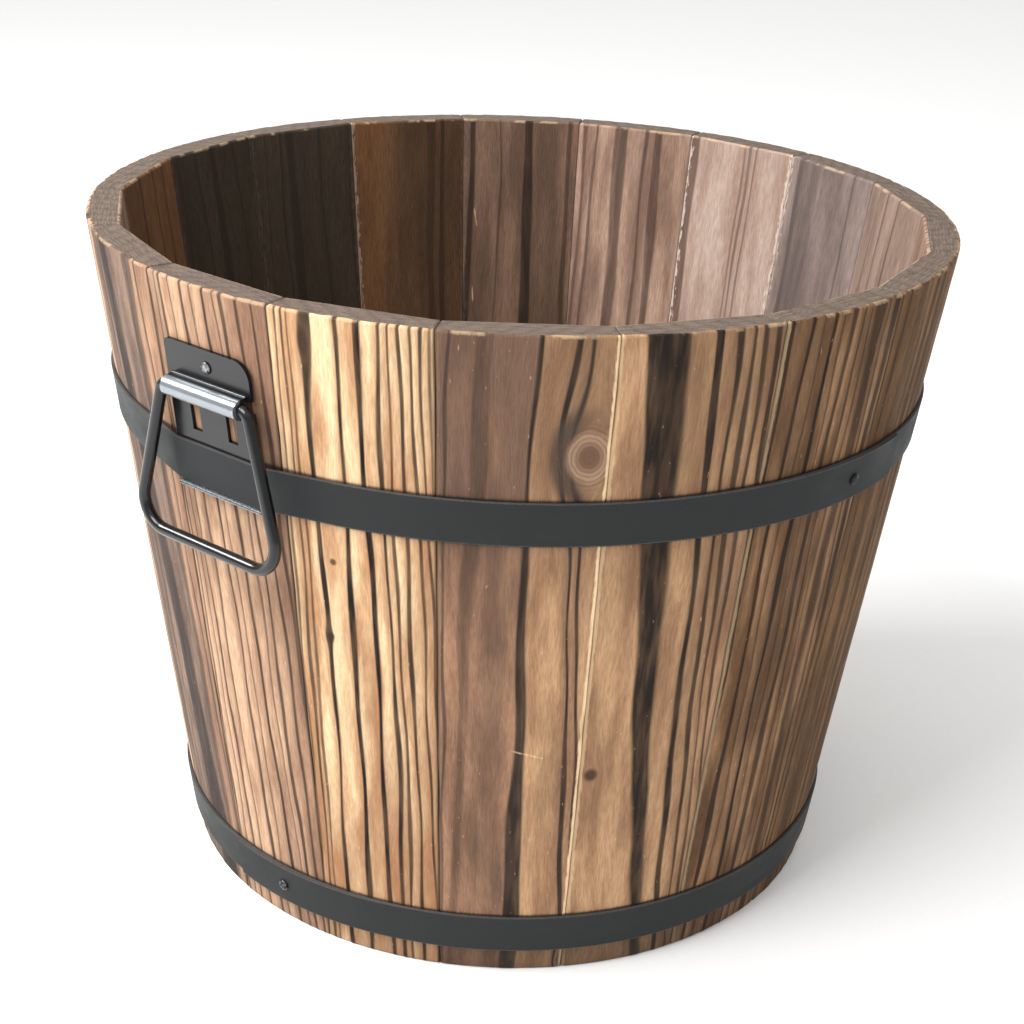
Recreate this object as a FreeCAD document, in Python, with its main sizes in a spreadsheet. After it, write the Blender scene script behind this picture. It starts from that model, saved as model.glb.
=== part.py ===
"""Round wooden planter: tapered staves, a board bottom, two steel hoops and two swinging wire handles.

Axes: +Z up, the foot stands on Z = 0, the handles face +X and -X. Millimetres and degrees.
"""
import FreeCAD
import Part
import Sketcher
import math
import os

SIZES = {
    # Barrel, measured outside
    "rim_diameter": 300.0,
    "base_diameter": 239.0,
    "barrel_height": 237.0,
    # Staves, thickness at the middle of the flat inner face
    "stave_count": 18,
    "stave_thickness": 12.0,
    # Bottom boards and the groove of the staves that holds them
    "bottom_lift": 15.0,
    "bottom_thickness": 10.0,
    "bottom_boards": 4,
    "groove_depth": 3.5,
    "groove_play": 0.3,
    "drain_diameter": 12.0,
    "drain_offset": 45.0,
    # Hoops: flat straps, each rising onto its own other end over the lap angle
    "hoop_width": 14.5,
    "hoop_thickness": 1.0,
    "upper_hoop_lift": 169.5,
    "lower_hoop_lift": 9.3,
    "upper_end_angle": -82.0,
    "lower_end_angle": 171.0,
    "lap_angle": 35.0,
    "lap_bury_angle": 5.0,
    "lap_nail_angle": 11.0,
    "crease_share": 0.75,
    "crease_overrun": 0.25,
    # Nails, length without the head
    "nail_shank": 1.8,
    "nail_length": 9.0,
    "nail_point": 2.5,
    "nail_head": 4.0,
    "nail_head_height": 1.0,
    "nail_clearance": 0.05,
    # Handle plate: flat sheet with a hood over the wire, pressed a little into the soft wood. It runs down
    # behind the hoop and ends below it in a lip bent out under the strap
    "pivot_over_hoop": 19.0,
    "sheet_thickness": 1.2,
    "seat_depth": 0.4,
    "plate_width": 37.0,
    "plate_rise": 14.4,
    "lip_gap": 0.2,
    "lip_reach": 1.8,
    "plate_clearance": 0.3,
    "left_corner_radius": 2.0,
    "right_corner_radius": 6.0,
    "hood_width": 32.6,
    "hood_bend_radius": 0.8,
    "slot_width": 4.2,
    "slot_length": 9.5,
    "slot_spacing": 16.0,
    "slot_drop": 5.0,
    "handle_nail_rise": 8.6,
    # Bail: closed wire, its top bar turning in the hood
    "wire_diameter": 4.0,
    "wire_clearance": 0.08,
    "wire_gap": 0.4,
    "hood_gap": 0.4,
    "bail_drop": 50.0,
    "bail_flare_angle": 15.6,
    "bail_top_radius": 3.0,
    "bail_corner_radius": 9.5,
}

doc = FreeCAD.newDocument("planter")
sheet = doc.addObject("Spreadsheet::Sheet", "Sizes")
for row, (alias, number) in enumerate(SIZES.items(), start=1):
    sheet.set(f"A{row}", alias)
    sheet.set(f"B{row}", str(number))
    sheet.setAlias(f"B{row}", alias)
doc.recompute()

# Expressions that several pieces share
SLOPE = "((Sizes.rim_diameter - Sizes.base_diameter) / 2 / Sizes.barrel_height)"
SLANT = f"sqrt(1 + {SLOPE}^2)"
PITCH = "(360 / Sizes.stave_count)"
PIVOT_HEIGHT = "(Sizes.upper_hoop_lift + Sizes.hoop_width + Sizes.pivot_over_hoop)"
LIP_TOP = f"((Sizes.pivot_over_hoop + Sizes.hoop_width) * {SLANT} + Sizes.lip_gap)"
PLATE_DROP = f"({LIP_TOP} + Sizes.sheet_thickness)"
WIRE_RADIUS = "(Sizes.wire_diameter / 2)"
PLATE_FACE = "(Sizes.sheet_thickness - Sizes.seat_depth)"
WIRE_AXIS = f"({PLATE_FACE} + Sizes.wire_gap + {WIRE_RADIUS})"
HOOD_INNER = f"({WIRE_RADIUS} + Sizes.wire_clearance)"
HOOD_OUTER = f"({HOOD_INNER} + Sizes.sheet_thickness)"
STRAP = f"(Sizes.hoop_thickness * {SLANT})"
LAP_SHIFT = f"({STRAP} / (1 - cos(Sizes.lap_angle)))"
NAIL_HOLE = "(Sizes.nail_shank / 2 + Sizes.nail_clearance)"
# Edges this close to where they are looked for are the ones meant
NEAR = 1e-4


def value(expression):
    """Work out an expression of the sheet's sizes as a number."""
    return float(sheet.evalExpression(expression))


def wall(height):
    """Expression for the barrel's outer radius at a height."""
    return f"(Sizes.base_diameter / 2 + {SLOPE} * ({height}))"


GROOVE_RADIUS = f"({wall('Sizes.bottom_lift')} - Sizes.stave_thickness + Sizes.groove_depth)"
BOTTOM_RADIUS = f"({GROOVE_RADIUS} - Sizes.groove_play)"


def on_wall(out, up):
    """Expressions for radius and height of a point off the wall, counted from the pivot height.

    out is measured square to the slanting wall and up along it.
    """
    radius = f"({wall(PIVOT_HEIGHT)} + (({out}) + ({up}) * {SLOPE}) / {SLANT})"
    height = f"({PIVOT_HEIGHT} + (({up}) - ({out}) * {SLOPE}) / {SLANT})"
    return radius, height


def wall_placement(angle, height, out):
    """Placement with X square out of the wall and Z up along it."""
    flare = math.degrees(math.atan(value(SLOPE)))
    rotation = FreeCAD.Rotation(angle, flare, 0)
    radius = value(wall(str(height)))
    foot = FreeCAD.Rotation(angle, 0, 0).multVec(FreeCAD.Vector(radius, 0, height))
    return FreeCAD.Placement(foot + rotation.multVec(FreeCAD.Vector(out, 0, 0)), rotation)


def new_body(label):
    """Start a sub-part."""
    body = doc.addObject("PartDesign::Body", label)
    body.Label = label
    return body


def new_sketch(body, name, role, lift=None):
    """Start a sketch on one of the body's own origin planes, lifted along its normal if asked."""
    sketch = body.newObject("Sketcher::SketchObject", f"{body.Name}_{name}")
    plane = next(item for item in body.Origin.OriginFeatures if item.Role == role)
    sketch.AttachmentSupport = (plane, [""])
    sketch.MapMode = "FlatFace"
    if lift is not None:
        sketch.setExpression("AttachmentOffset.Base.z", lift)
    return sketch


def tie(sketch, kind, geometry, end, expression):
    """Tie a point's distance from the sketch origin to an expression."""
    constraint = Sketcher.Constraint(kind, -1, 1, geometry, end, value(expression))
    number = sketch.addConstraint(constraint)
    sketch.setExpression(f"Constraints[{number}]", expression)


def tie_radius(sketch, geometry, expression):
    """Tie the radius of an arc or circle to an expression."""
    number = sketch.addConstraint(Sketcher.Constraint("Radius", geometry, value(expression)))
    sketch.setExpression(f"Constraints[{number}]", expression)


def outline(sketch, corners):
    """Draw a closed polygon whose corners are pairs of expressions."""
    points = [FreeCAD.Vector(value(x), value(y), 0) for x, y in corners]
    following = points[1:] + points[:1]
    lines = [sketch.addGeometry(Part.LineSegment(a, b)) for a, b in zip(points, following)]
    for line, after in zip(lines, lines[1:] + lines[:1]):
        sketch.addConstraint(Sketcher.Constraint("Coincident", line, 2, after, 1))
    for line, (x, y) in zip(lines, corners):
        tie(sketch, "DistanceX", line, 1, x)
        tie(sketch, "DistanceY", line, 1, y)


def rectangle(sketch, left, right, low, high):
    """Draw a rectangle from the expressions of its four sides."""
    outline(sketch, [(left, low), (right, low), (right, high), (left, high)])


def circle(sketch, x, y, radius):
    """Draw a circle from expressions."""
    middle = FreeCAD.Vector(value(x), value(y), 0)
    round_line = sketch.addGeometry(Part.Circle(middle, FreeCAD.Vector(0, 0, 1), value(radius)))
    tie(sketch, "DistanceX", round_line, 3, x)
    tie(sketch, "DistanceY", round_line, 3, y)
    tie_radius(sketch, round_line, radius)


def hood_outline(sketch, back, radius):
    """Draw the side view of the hood: straight from the back, then half round about the wire."""
    low = f"-{radius}"
    middle = FreeCAD.Vector(value(WIRE_AXIS), 0, 0)
    back_low = FreeCAD.Vector(value(back), value(low), 0)
    front_low = FreeCAD.Vector(value(WIRE_AXIS), value(low), 0)
    front_high = FreeCAD.Vector(value(WIRE_AXIS), value(radius), 0)
    back_high = FreeCAD.Vector(value(back), value(radius), 0)
    full = Part.Circle(middle, FreeCAD.Vector(0, 0, 1), value(radius))
    under = sketch.addGeometry(Part.LineSegment(back_low, front_low))
    nose = sketch.addGeometry(Part.ArcOfCircle(full, -math.pi / 2, math.pi / 2))
    over = sketch.addGeometry(Part.LineSegment(front_high, back_high))
    rear = sketch.addGeometry(Part.LineSegment(back_high, back_low))
    for first, second in ((under, nose), (nose, over), (over, rear), (rear, under)):
        sketch.addConstraint(Sketcher.Constraint("Coincident", first, 2, second, 1))
    for line, x, y in ((under, back, low), (over, WIRE_AXIS, radius), (rear, back, radius)):
        tie(sketch, "DistanceX", line, 1, x)
        tie(sketch, "DistanceY", line, 1, y)
    tie(sketch, "DistanceX", under, 2, WIRE_AXIS)
    tie(sketch, "DistanceY", under, 2, low)
    tie(sketch, "DistanceX", nose, 3, WIRE_AXIS)


def extrude(body, kind, sketch, length=None):
    """Add a Pad or Pocket of a sketch, symmetric about its plane, through all without a length."""
    feature = body.newObject(f"PartDesign::{kind}", f"{sketch.Name}_{kind}")
    feature.Profile = sketch
    feature.SideType = "Symmetric"
    if length is None:
        feature.Type = "ThroughAll"
    else:
        feature.setExpression("Length", length)
    return feature


def revolve(body, kind, sketch, axis, angle):
    """Add a Revolution or Groove of a sketch about one of the sketch's own axes."""
    feature = body.newObject(f"PartDesign::{kind}", f"{sketch.Name}_{kind}")
    feature.Profile = sketch
    feature.ReferenceAxis = (sketch, [axis])
    feature.setExpression("Angle", angle)
    return feature


def loft(body, kind, first, second):
    """Add a straight loft between two sketches."""
    feature = body.newObject(f"PartDesign::{kind}", f"{first.Name}_{kind}")
    feature.Profile = first
    feature.Sections = [second]
    feature.Ruled = True
    return feature


def nail_bore(body, placement, name):
    """Cut the hole of a nail along the placement's X axis, both ways from its origin."""
    bore = body.newObject("PartDesign::SubtractiveCylinder", f"{body.Name}_{name}")
    bore.setExpression("Radius", NAIL_HOLE)
    bore.setExpression("Height", "Sizes.nail_length * 2")
    to_start = FreeCAD.Placement(FreeCAD.Vector(-value("Sizes.nail_length"), 0, 0), FreeCAD.Rotation())
    lie_down = FreeCAD.Placement(FreeCAD.Vector(), FreeCAD.Rotation(0, 90, 0))
    bore.Placement = placement.multiply(to_start).multiply(lie_down)


def round_corner(body, radius, is_wanted):
    """Round the edges of the body so far whose middle passes a test."""
    doc.recompute()
    base = body.Tip
    names = []
    for number, edge in enumerate(base.Shape.Edges, start=1):
        if is_wanted(edge):
            names.append(f"Edge{number}")
    feature = body.newObject("PartDesign::Fillet", f"{body.Name}_round_{len(body.Group)}")
    feature.Base = (base, names)
    feature.setExpression("Radius", radius)


def lap_nail_at(lap_end, turn):
    """Angle of the nail in a lap, set back from the strap's end."""
    return value(lap_end) + turn * value("Sizes.lap_nail_angle")


def lap_nail_height(lift):
    """Height of the nail, half way up the strap."""
    return value(f"{lift} + Sizes.hoop_width / 2")


# Hoops by name: height of the lower edge, angle of the outer end, and the way the outer layer runs from it
LAPS = {
    "upper_hoop": ("Sizes.upper_hoop_lift", "Sizes.upper_end_angle", -1),
    "lower_hoop": ("Sizes.lower_hoop_lift", "Sizes.lower_end_angle", 1),
}
HANDLES = {"right": 0.0, "left": 180.0}


def nails_in_stave(middle):
    """Placements, in the stave's own frame, of the nails that enter the stave standing at an angle."""
    half = value(PITCH) / 2
    handle_nail = value(on_wall("0", "Sizes.handle_nail_rise")[1])
    nails = [(angle, handle_nail) for angle in HANDLES.values()]
    for lift, lap_end, turn in LAPS.values():
        nails.append((lap_nail_at(lap_end, turn), lap_nail_height(lift)))
    inside = []
    for angle, height in nails:
        offset = (angle - middle + 180) % 360 - 180
        if -half <= offset < half:
            inside.append(wall_placement(offset, height, 0))
    return inside


def make_stave(number):
    """One stave: round outside, flat inside, grooved for the bottom, bored for the nails it takes."""
    body = new_body(f"stave_{number + 1:02d}")
    middle = number * value(PITCH)
    foot, rim = "0", "Sizes.barrel_height"
    inner = {at: f"({wall(at)} - Sizes.stave_thickness)" for at in (foot, rim)}
    spare = {at: f"({wall(at)} - 2 * Sizes.stave_thickness)" for at in (foot, rim)}

    section = new_sketch(body, "section", "XZ_Plane")
    outline(section, [(spare[foot], foot), (wall(foot), foot), (wall(rim), rim), (spare[rim], rim)])
    blank = revolve(body, "Revolution", section, "V_Axis", PITCH)
    blank.Midplane = True

    hollow = new_sketch(body, "hollow", "XZ_Plane")
    outline(hollow, [("0", foot), (inner[foot], foot), (inner[rim], rim), ("0", rim)])
    extrude(body, "Pocket", hollow)

    groove = new_sketch(body, "groove", "XZ_Plane")
    top = "Sizes.bottom_lift + Sizes.bottom_thickness + Sizes.groove_play"
    rectangle(groove, "0", GROOVE_RADIUS, "Sizes.bottom_lift", top)
    cut = revolve(body, "Groove", groove, "V_Axis", "360")
    cut.Midplane = True

    if any(abs((angle - middle + 180) % 360 - 180) < value(PITCH) / 2 for angle in HANDLES.values()):
        seat = new_sketch(body, "seat", "XZ_Plane")
        deep, clear = "-Sizes.seat_depth", "Sizes.stave_thickness"
        low, high = f"-{PLATE_DROP}", "Sizes.plate_rise"
        outline(seat, [on_wall(deep, low), on_wall(clear, low), on_wall(clear, high), on_wall(deep, high)])
        extrude(body, "Pocket", seat)
    for place in nails_in_stave(middle):
        nail_bore(body, place, "nail_bore")

    body.Placement.Rotation = FreeCAD.Rotation(FreeCAD.Vector(0, 0, 1), middle)
    body.setExpression("Placement.Rotation.Angle", f"{number} * {PITCH}")
    return body


def make_bottom_board(number):
    """One board of the round bottom, with a drain hole."""
    label = f"bottom_board_{number + 1}"
    width = f"(2 * {BOTTOM_RADIUS} / Sizes.bottom_boards)"
    side = 1 if number % 2 else -1

    disc = doc.addObject("Part::Cylinder", f"{label}_disc")
    disc.setExpression("Radius", BOTTOM_RADIUS)
    disc.setExpression("Height", "Sizes.bottom_thickness")

    strip = doc.addObject("Part::Box", f"{label}_strip")
    strip.setExpression("Length", f"2 * {BOTTOM_RADIUS}")
    strip.setExpression("Width", width)
    strip.setExpression("Height", "Sizes.bottom_thickness")
    strip.setExpression("Placement.Base.x", f"-{BOTTOM_RADIUS}")
    strip.setExpression("Placement.Base.y", f"{number} * {width} - {BOTTOM_RADIUS}")

    blank = doc.addObject("Part::Common", f"{label}_blank")
    blank.Base = disc
    blank.Tool = strip

    drain = doc.addObject("Part::Cylinder", f"{label}_drain")
    drain.setExpression("Radius", "Sizes.drain_diameter / 2")
    drain.setExpression("Height", "Sizes.bottom_thickness")
    drain.setExpression("Placement.Base.x", f"{side} * Sizes.drain_offset")
    drain.setExpression("Placement.Base.y", f"({number} + 0.5) * {width} - {BOTTOM_RADIUS}")

    board = doc.addObject("Part::Cut", label)
    board.Label = label
    board.Base = blank
    board.Tool = drain
    board.setExpression("Placement.Base.z", "Sizes.bottom_lift")
    return board


def strap_bulge(body, name, lift, side, kind):
    """Loft the flat stretch of a hoop over a handle plate: its outside with AdditiveLoft, else its bore.

    In each section the strap lies flat on the plate and runs straight from the plate's edges down to
    the staves, which it meets at a crease. The section runs a little on into the round strap there.
    """
    thick = STRAP if kind == "AdditiveLoft" else "0"
    sections = []
    for end, height in (("low", lift), ("high", f"({lift} + Sizes.hoop_width)")):
        radius = wall(height)
        face = f"({radius} + {PLATE_FACE} * {SLANT})"
        edge = "(Sizes.plate_width / 2 + Sizes.plate_clearance)"
        corner = f"atan({edge} / {face})"
        tangent = f"acos({radius} / sqrt({edge}^2 + {face}^2))"
        crease = f"({corner} + Sizes.crease_share * {tangent})"
        out_x = f"({face} + {thick})"
        out_y = f"({edge} + {thick} * tan({crease} / 2))"
        meet_x = f"(({radius} + {thick}) * cos({crease}))"
        meet_y = f"(({radius} + {thick}) * sin({crease}))"
        past_x = f"({meet_x} + ({meet_x} - {out_x}) * Sizes.crease_overrun)"
        past_y = f"({meet_y} + ({meet_y} - {out_y}) * Sizes.crease_overrun)"
        sketch = new_sketch(body, f"{name}_{end}", "XY_Plane", height)
        outline(sketch, [
            (f"{side} * {past_x}", f"-{past_y}"),
            (f"{side} * {out_x}", f"-{out_y}"),
            (f"{side} * {out_x}", out_y),
            (f"{side} * {past_x}", past_y),
        ])
        sections.append(sketch)
    loft(body, kind, *sections)


def make_hoop(label):
    """A strap hoop round the staves, lapped at its ends; the upper one also lies over the handle plates."""
    lift, lap_end, turn = LAPS[label]
    low, high = lift, f"({lift} + Sizes.hoop_width)"
    over_plates = label == "upper_hoop"
    body = new_body(label)

    solid = new_sketch(body, "solid", "XZ_Plane")
    outside = {at: f"({wall(at)} + {STRAP})" for at in (low, high)}
    outline(solid, [("0", low), (outside[low], low), (outside[high], high), ("0", high)])
    revolve(body, "Revolution", solid, "V_Axis", "360")

    lap = new_sketch(body, "lap", "XZ_Plane")
    lap.setExpression("AttachmentOffset.Rotation.Angle", lap_end)
    lap.AttachmentOffset.Rotation.Axis = FreeCAD.Vector(0, 1, 0)
    second = {at: f"({outside[at]} + {STRAP})" for at in (low, high)}
    outline(lap, [(wall(low), low), (second[low], low), (second[high], high), (wall(high), high)])
    lap_foot = FreeCAD.Vector(value(LAP_SHIFT), value(low), 0)
    lap_head = FreeCAD.Vector(value(LAP_SHIFT), value(high), 0)
    axis = lap.addGeometry(Part.LineSegment(lap_foot, lap_head), True)
    for end, height in ((1, low), (2, high)):
        tie(lap, "DistanceX", axis, end, LAP_SHIFT)
        tie(lap, "DistanceY", axis, end, height)
    layer = revolve(body, "Revolution", lap, "Axis0", "Sizes.lap_angle + Sizes.lap_bury_angle")
    layer.Reversed = turn < 0

    if over_plates:
        for name, side in (("right_bulge", 1), ("left_bulge", -1)):
            strap_bulge(body, name, lift, side, "AdditiveLoft")

    bore = new_sketch(body, "bore", "XZ_Plane")
    outline(bore, [("0", low), (wall(low), low), (wall(high), high), ("0", high)])
    revolve(body, "Groove", bore, "V_Axis", "360")
    if over_plates:
        for name, side in (("right_bed", 1), ("left_bed", -1)):
            strap_bulge(body, name, lift, side, "SubtractiveLoft")

    nail_bore(body, wall_placement(lap_nail_at(lap_end, turn), lap_nail_height(lift), 0), "nail_bore")
    return body


def make_nail(label, place):
    """A nail along its own X axis, the underside of its head at X = 0."""
    body = new_body(label)
    shank, head = "(Sizes.nail_shank / 2)", "(Sizes.nail_head / 2)"
    side = new_sketch(body, "side", "XZ_Plane")
    outline(side, [
        ("-Sizes.nail_length", "0"),
        ("Sizes.nail_point - Sizes.nail_length", shank),
        ("0", shank),
        ("0", head),
        ("Sizes.nail_head_height / 2", head),
        ("Sizes.nail_head_height", f"{head} / 2"),
        ("Sizes.nail_head_height", "0"),
    ])
    revolve(body, "Revolution", side, "H_Axis", "360")
    body.Placement = place
    return body


def make_plate(label, angle):
    """A handle plate: sheet with a hood over the wire, two slots below it, a nail hole above it and a lip."""
    body = new_body(label)
    back = "-Sizes.seat_depth"
    lip_end = f"({PLATE_FACE} + Sizes.lip_reach)"

    flat = new_sketch(body, "flat", "XZ_Plane")
    outline(flat, [
        (back, f"-{PLATE_DROP}"),
        (lip_end, f"-{PLATE_DROP}"),
        (lip_end, f"-{LIP_TOP}"),
        (PLATE_FACE, f"-{LIP_TOP}"),
        (PLATE_FACE, "Sizes.plate_rise"),
        (back, "Sizes.plate_rise"),
    ])
    extrude(body, "Pad", flat, "Sizes.plate_width")

    hood = new_sketch(body, "hood", "XZ_Plane")
    hood_outline(hood, back, HOOD_OUTER)
    extrude(body, "Pad", hood, "Sizes.hood_width")

    face = value(PLATE_FACE)
    bend = value(HOOD_OUTER)

    def is_bend(edge):
        middle = edge.BoundBox.Center
        along = edge.BoundBox.YLength > value("Sizes.hood_width") / 2
        return along and abs(middle.x - face) < NEAR and abs(abs(middle.z) - bend) < NEAR

    round_corner(body, "Sizes.hood_bend_radius", is_bend)

    channel = new_sketch(body, "channel", "XZ_Plane")
    hood_outline(channel, "-Sizes.seat_depth - Sizes.sheet_thickness", HOOD_INNER)
    extrude(body, "Pocket", channel)

    slots = new_sketch(body, "slots", "YZ_Plane")
    slot_low, slot_high = "-Sizes.slot_drop - Sizes.slot_length", "-Sizes.slot_drop"
    for side in (-1, 1):
        middle = f"{side} * Sizes.slot_spacing / 2"
        left, right = f"{middle} - Sizes.slot_width / 2", f"{middle} + Sizes.slot_width / 2"
        rectangle(slots, left, right, slot_low, slot_high)
    circle(slots, "0", "Sizes.handle_nail_rise", NAIL_HOLE)
    extrude(body, "Pocket", slots)

    for side, radius in ((-1, "Sizes.left_corner_radius"), (1, "Sizes.right_corner_radius")):
        def is_corner(edge):
            middle = edge.BoundBox.Center
            beside = abs(middle.y - side * value("Sizes.plate_width") / 2) < NEAR
            return beside and abs(middle.z - value("Sizes.plate_rise")) < NEAR

        round_corner(body, radius, is_corner)

    body.Placement = wall_placement(angle, value(PIVOT_HEIGHT), 0)
    return body


def make_bail(label, angle):
    """A bail hanging straight down: one closed wire, its top bar along the Y axis of its own frame."""
    body = new_body(label)
    half_bar = "(Sizes.hood_width / 2 + Sizes.hood_gap)"
    half, drop = value(half_bar), value("Sizes.bail_drop")
    top, corner = value("Sizes.bail_top_radius"), value("Sizes.bail_corner_radius")
    lean = math.radians(value("Sizes.bail_flare_angle"))
    leg = (drop - top - corner + (top - corner) * math.sin(lean)) / math.cos(lean)
    spread = half + (top - corner) * math.cos(lean) + leg * math.sin(lean)

    path = new_sketch(body, "path", "YZ_Plane")
    middle = FreeCAD.Vector(0, 0, 0)

    def straight(start, end):
        return path.addGeometry(Part.LineSegment(start, end))

    def bend(y, z, radius, start, end):
        full = Part.Circle(FreeCAD.Vector(y, z, 0), FreeCAD.Vector(0, 0, 1), radius)
        return path.addGeometry(Part.ArcOfCircle(full, start, end))

    def on_bend(y, z, radius, turn):
        return FreeCAD.Vector(y + radius * math.cos(turn), z + radius * math.sin(turn), 0)

    sides = []
    for side, turn in ((1, lean), (-1, math.pi - lean)):
        bar_end = FreeCAD.Vector(side * half, 0, 0)
        leg_top = on_bend(side * half, -top, top, turn)
        leg_low = on_bend(side * spread, corner - drop, corner, turn)
        level = math.pi / 2
        bar = straight(middle, bar_end)
        upper = bend(side * half, -top, top, *sorted((turn, level)))
        side_leg = straight(leg_top, leg_low)
        lower = bend(side * spread, corner - drop, corner, *sorted((turn, level - side * math.pi)))
        sides.append((bar, upper, side_leg, lower))
    base = straight(FreeCAD.Vector(spread, -drop, 0), FreeCAD.Vector(-spread, -drop, 0))

    for side, (bar, upper, side_leg, lower) in zip((1, -1), sides):
        first, last = (2, 1) if side > 0 else (1, 2)
        path.addConstraint(Sketcher.Constraint("Coincident", bar, 1, -1, 1))
        path.addConstraint(Sketcher.Constraint("Horizontal", bar))
        tie(path, "DistanceX", bar, 2, f"{side} * {half_bar}")
        path.addConstraint(Sketcher.Constraint("Tangent", bar, 2, upper, first))
        path.addConstraint(Sketcher.Constraint("Tangent", upper, last, side_leg, 1))
        path.addConstraint(Sketcher.Constraint("Tangent", side_leg, 2, lower, first))
        path.addConstraint(Sketcher.Constraint("Tangent", lower, last, base, last))
        tie_radius(path, upper, "Sizes.bail_top_radius")
        tie_radius(path, lower, "Sizes.bail_corner_radius")
    path.addConstraint(Sketcher.Constraint("Horizontal", base))
    tie(path, "DistanceY", base, 1, "-Sizes.bail_drop")
    right_leg, left_leg = sides[0][2], sides[1][2]
    path.addConstraint(Sketcher.Constraint("Equal", right_leg, left_leg))
    flare = path.addConstraint(Sketcher.Constraint("Angle", right_leg, lean - math.pi / 2))
    path.setExpression(f"Constraints[{flare}]", "Sizes.bail_flare_angle - 90")

    wire = new_sketch(body, "wire", "XZ_Plane")
    circle(wire, "0", "0", WIRE_RADIUS)
    doc.recompute()
    pipe = body.newObject("PartDesign::AdditivePipe", f"{label}_pipe")
    pipe.Profile = wire
    pipe.Spine = (path, [f"Edge{number + 1}" for number in range(len(path.Shape.Edges))])

    radius, height = on_wall(WIRE_AXIS, "0")
    turned = FreeCAD.Rotation(FreeCAD.Vector(0, 0, 1), angle)
    pivot = FreeCAD.Vector(value(radius), 0, value(height))
    body.Placement = FreeCAD.Placement(turned.multVec(pivot), turned)
    return body


parts = [make_stave(number) for number in range(int(value("Sizes.stave_count")))]
parts += [make_bottom_board(number) for number in range(int(value("Sizes.bottom_boards")))]
for hoop, (lift, lap_end, turn) in LAPS.items():
    parts.append(make_hoop(hoop))
    set_back = f"{LAP_SHIFT} * (1 - cos(Sizes.lap_nail_angle))"
    layers = value(f"2 * {STRAP} - {set_back}")
    place = wall_placement(lap_nail_at(lap_end, turn), lap_nail_height(lift), layers)
    parts.append(make_nail(f"{hoop}_nail", place))
for side, angle in HANDLES.items():
    parts.append(make_plate(f"{side}_handle_plate", angle))
    nail_height = value(on_wall("0", "Sizes.handle_nail_rise")[1])
    parts.append(make_nail(f"{side}_handle_nail", wall_placement(angle, nail_height, value(PLATE_FACE))))
    parts.append(make_bail(f"{side}_bail", angle))
doc.recompute()

for item in doc.Objects:
    if "Invalid" in item.State or "Error" in item.State:
        raise RuntimeError(f"{item.Name} did not build: {item.State}")
for part in parts:
    if part.Shape.isNull() or not part.Shape.isValid():
        raise RuntimeError(f"{part.Label} has no sound shape")

os.makedirs("parts", exist_ok=True)
for part in parts:
    part.Shape.exportStep(f"parts/{part.Label}.step")
    print(part.Label, len(part.Shape.Solids), round(part.Shape.Volume))
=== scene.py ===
"""Looks of a round wooden planter: charred fir staves, black steel straps and two swinging wire handles.

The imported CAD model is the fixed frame. Each piece here stands where its CAD node stands and rides on the
node's body. Lengths are in metres, and in millimetres where a name or a docstring says so.
"""

import logging
import math
import random
from collections.abc import Sequence
from dataclasses import dataclass, field
from enum import Enum

import bmesh
import bpy
import numpy as np
from mathutils import Matrix, Vector


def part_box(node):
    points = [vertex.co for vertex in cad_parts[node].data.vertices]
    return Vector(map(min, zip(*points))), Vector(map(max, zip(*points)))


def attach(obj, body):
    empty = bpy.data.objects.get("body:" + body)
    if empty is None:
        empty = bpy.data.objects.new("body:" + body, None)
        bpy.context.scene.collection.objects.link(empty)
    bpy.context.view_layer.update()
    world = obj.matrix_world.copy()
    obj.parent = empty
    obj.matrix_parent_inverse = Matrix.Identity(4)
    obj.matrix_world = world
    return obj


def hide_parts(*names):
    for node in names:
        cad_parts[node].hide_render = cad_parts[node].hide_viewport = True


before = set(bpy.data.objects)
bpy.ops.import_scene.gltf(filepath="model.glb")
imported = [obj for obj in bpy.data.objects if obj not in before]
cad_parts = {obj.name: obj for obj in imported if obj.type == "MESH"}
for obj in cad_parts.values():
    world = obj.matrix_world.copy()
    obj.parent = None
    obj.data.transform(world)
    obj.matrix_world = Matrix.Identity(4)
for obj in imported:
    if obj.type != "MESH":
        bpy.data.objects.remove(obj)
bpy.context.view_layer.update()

LOG = logging.getLogger("planter")
MM = 0.001
BARREL_HEIGHT = 237.0  # millimetres
RIM_RADIUS = 150.0  # millimetres
STAVE_PITCH = 20.0  # degrees
HALF_PITCH = math.radians(STAVE_PITCH / 2)
HOOP_WIDTH = 14.5  # millimetres
HOOP_LIFTS = {"upper_hoop": 169.5, "lower_hoop": 9.3}  # millimetres
NAIL_BEVEL = 0.2  # millimetres
WELD = 2e-6  # metres, points closer than this are one
FLAT_ANGLE = 0.6  # degrees, faces that turn less than this are one
BEVEL_ANGLE = 32.0  # degrees, edges that turn more than this are rounded
CREASE_ANGLE = 40.0  # degrees, edges that turn more than this stay sharp in the light
OUTSIDE_SEED = 100
INSIDE_SEED = 200

Colour = tuple[float, float, float, float]
Number = float | int
Settings = dict[str, object]
Sockets = dict[str | int, object]


def linear(level: int) -> float:
    """Linear light of a screen value from 0 to 255."""
    part = level / 255
    return part / 12.92 if part <= 0.04045 else ((part + 0.055) / 1.055) ** 2.4


def shade(red: int, green: int, blue: int) -> Colour:
    """Turn screen values from 0 to 255 into the linear colour that a shader takes."""
    return linear(red), linear(green), linear(blue), 1.0


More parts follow.
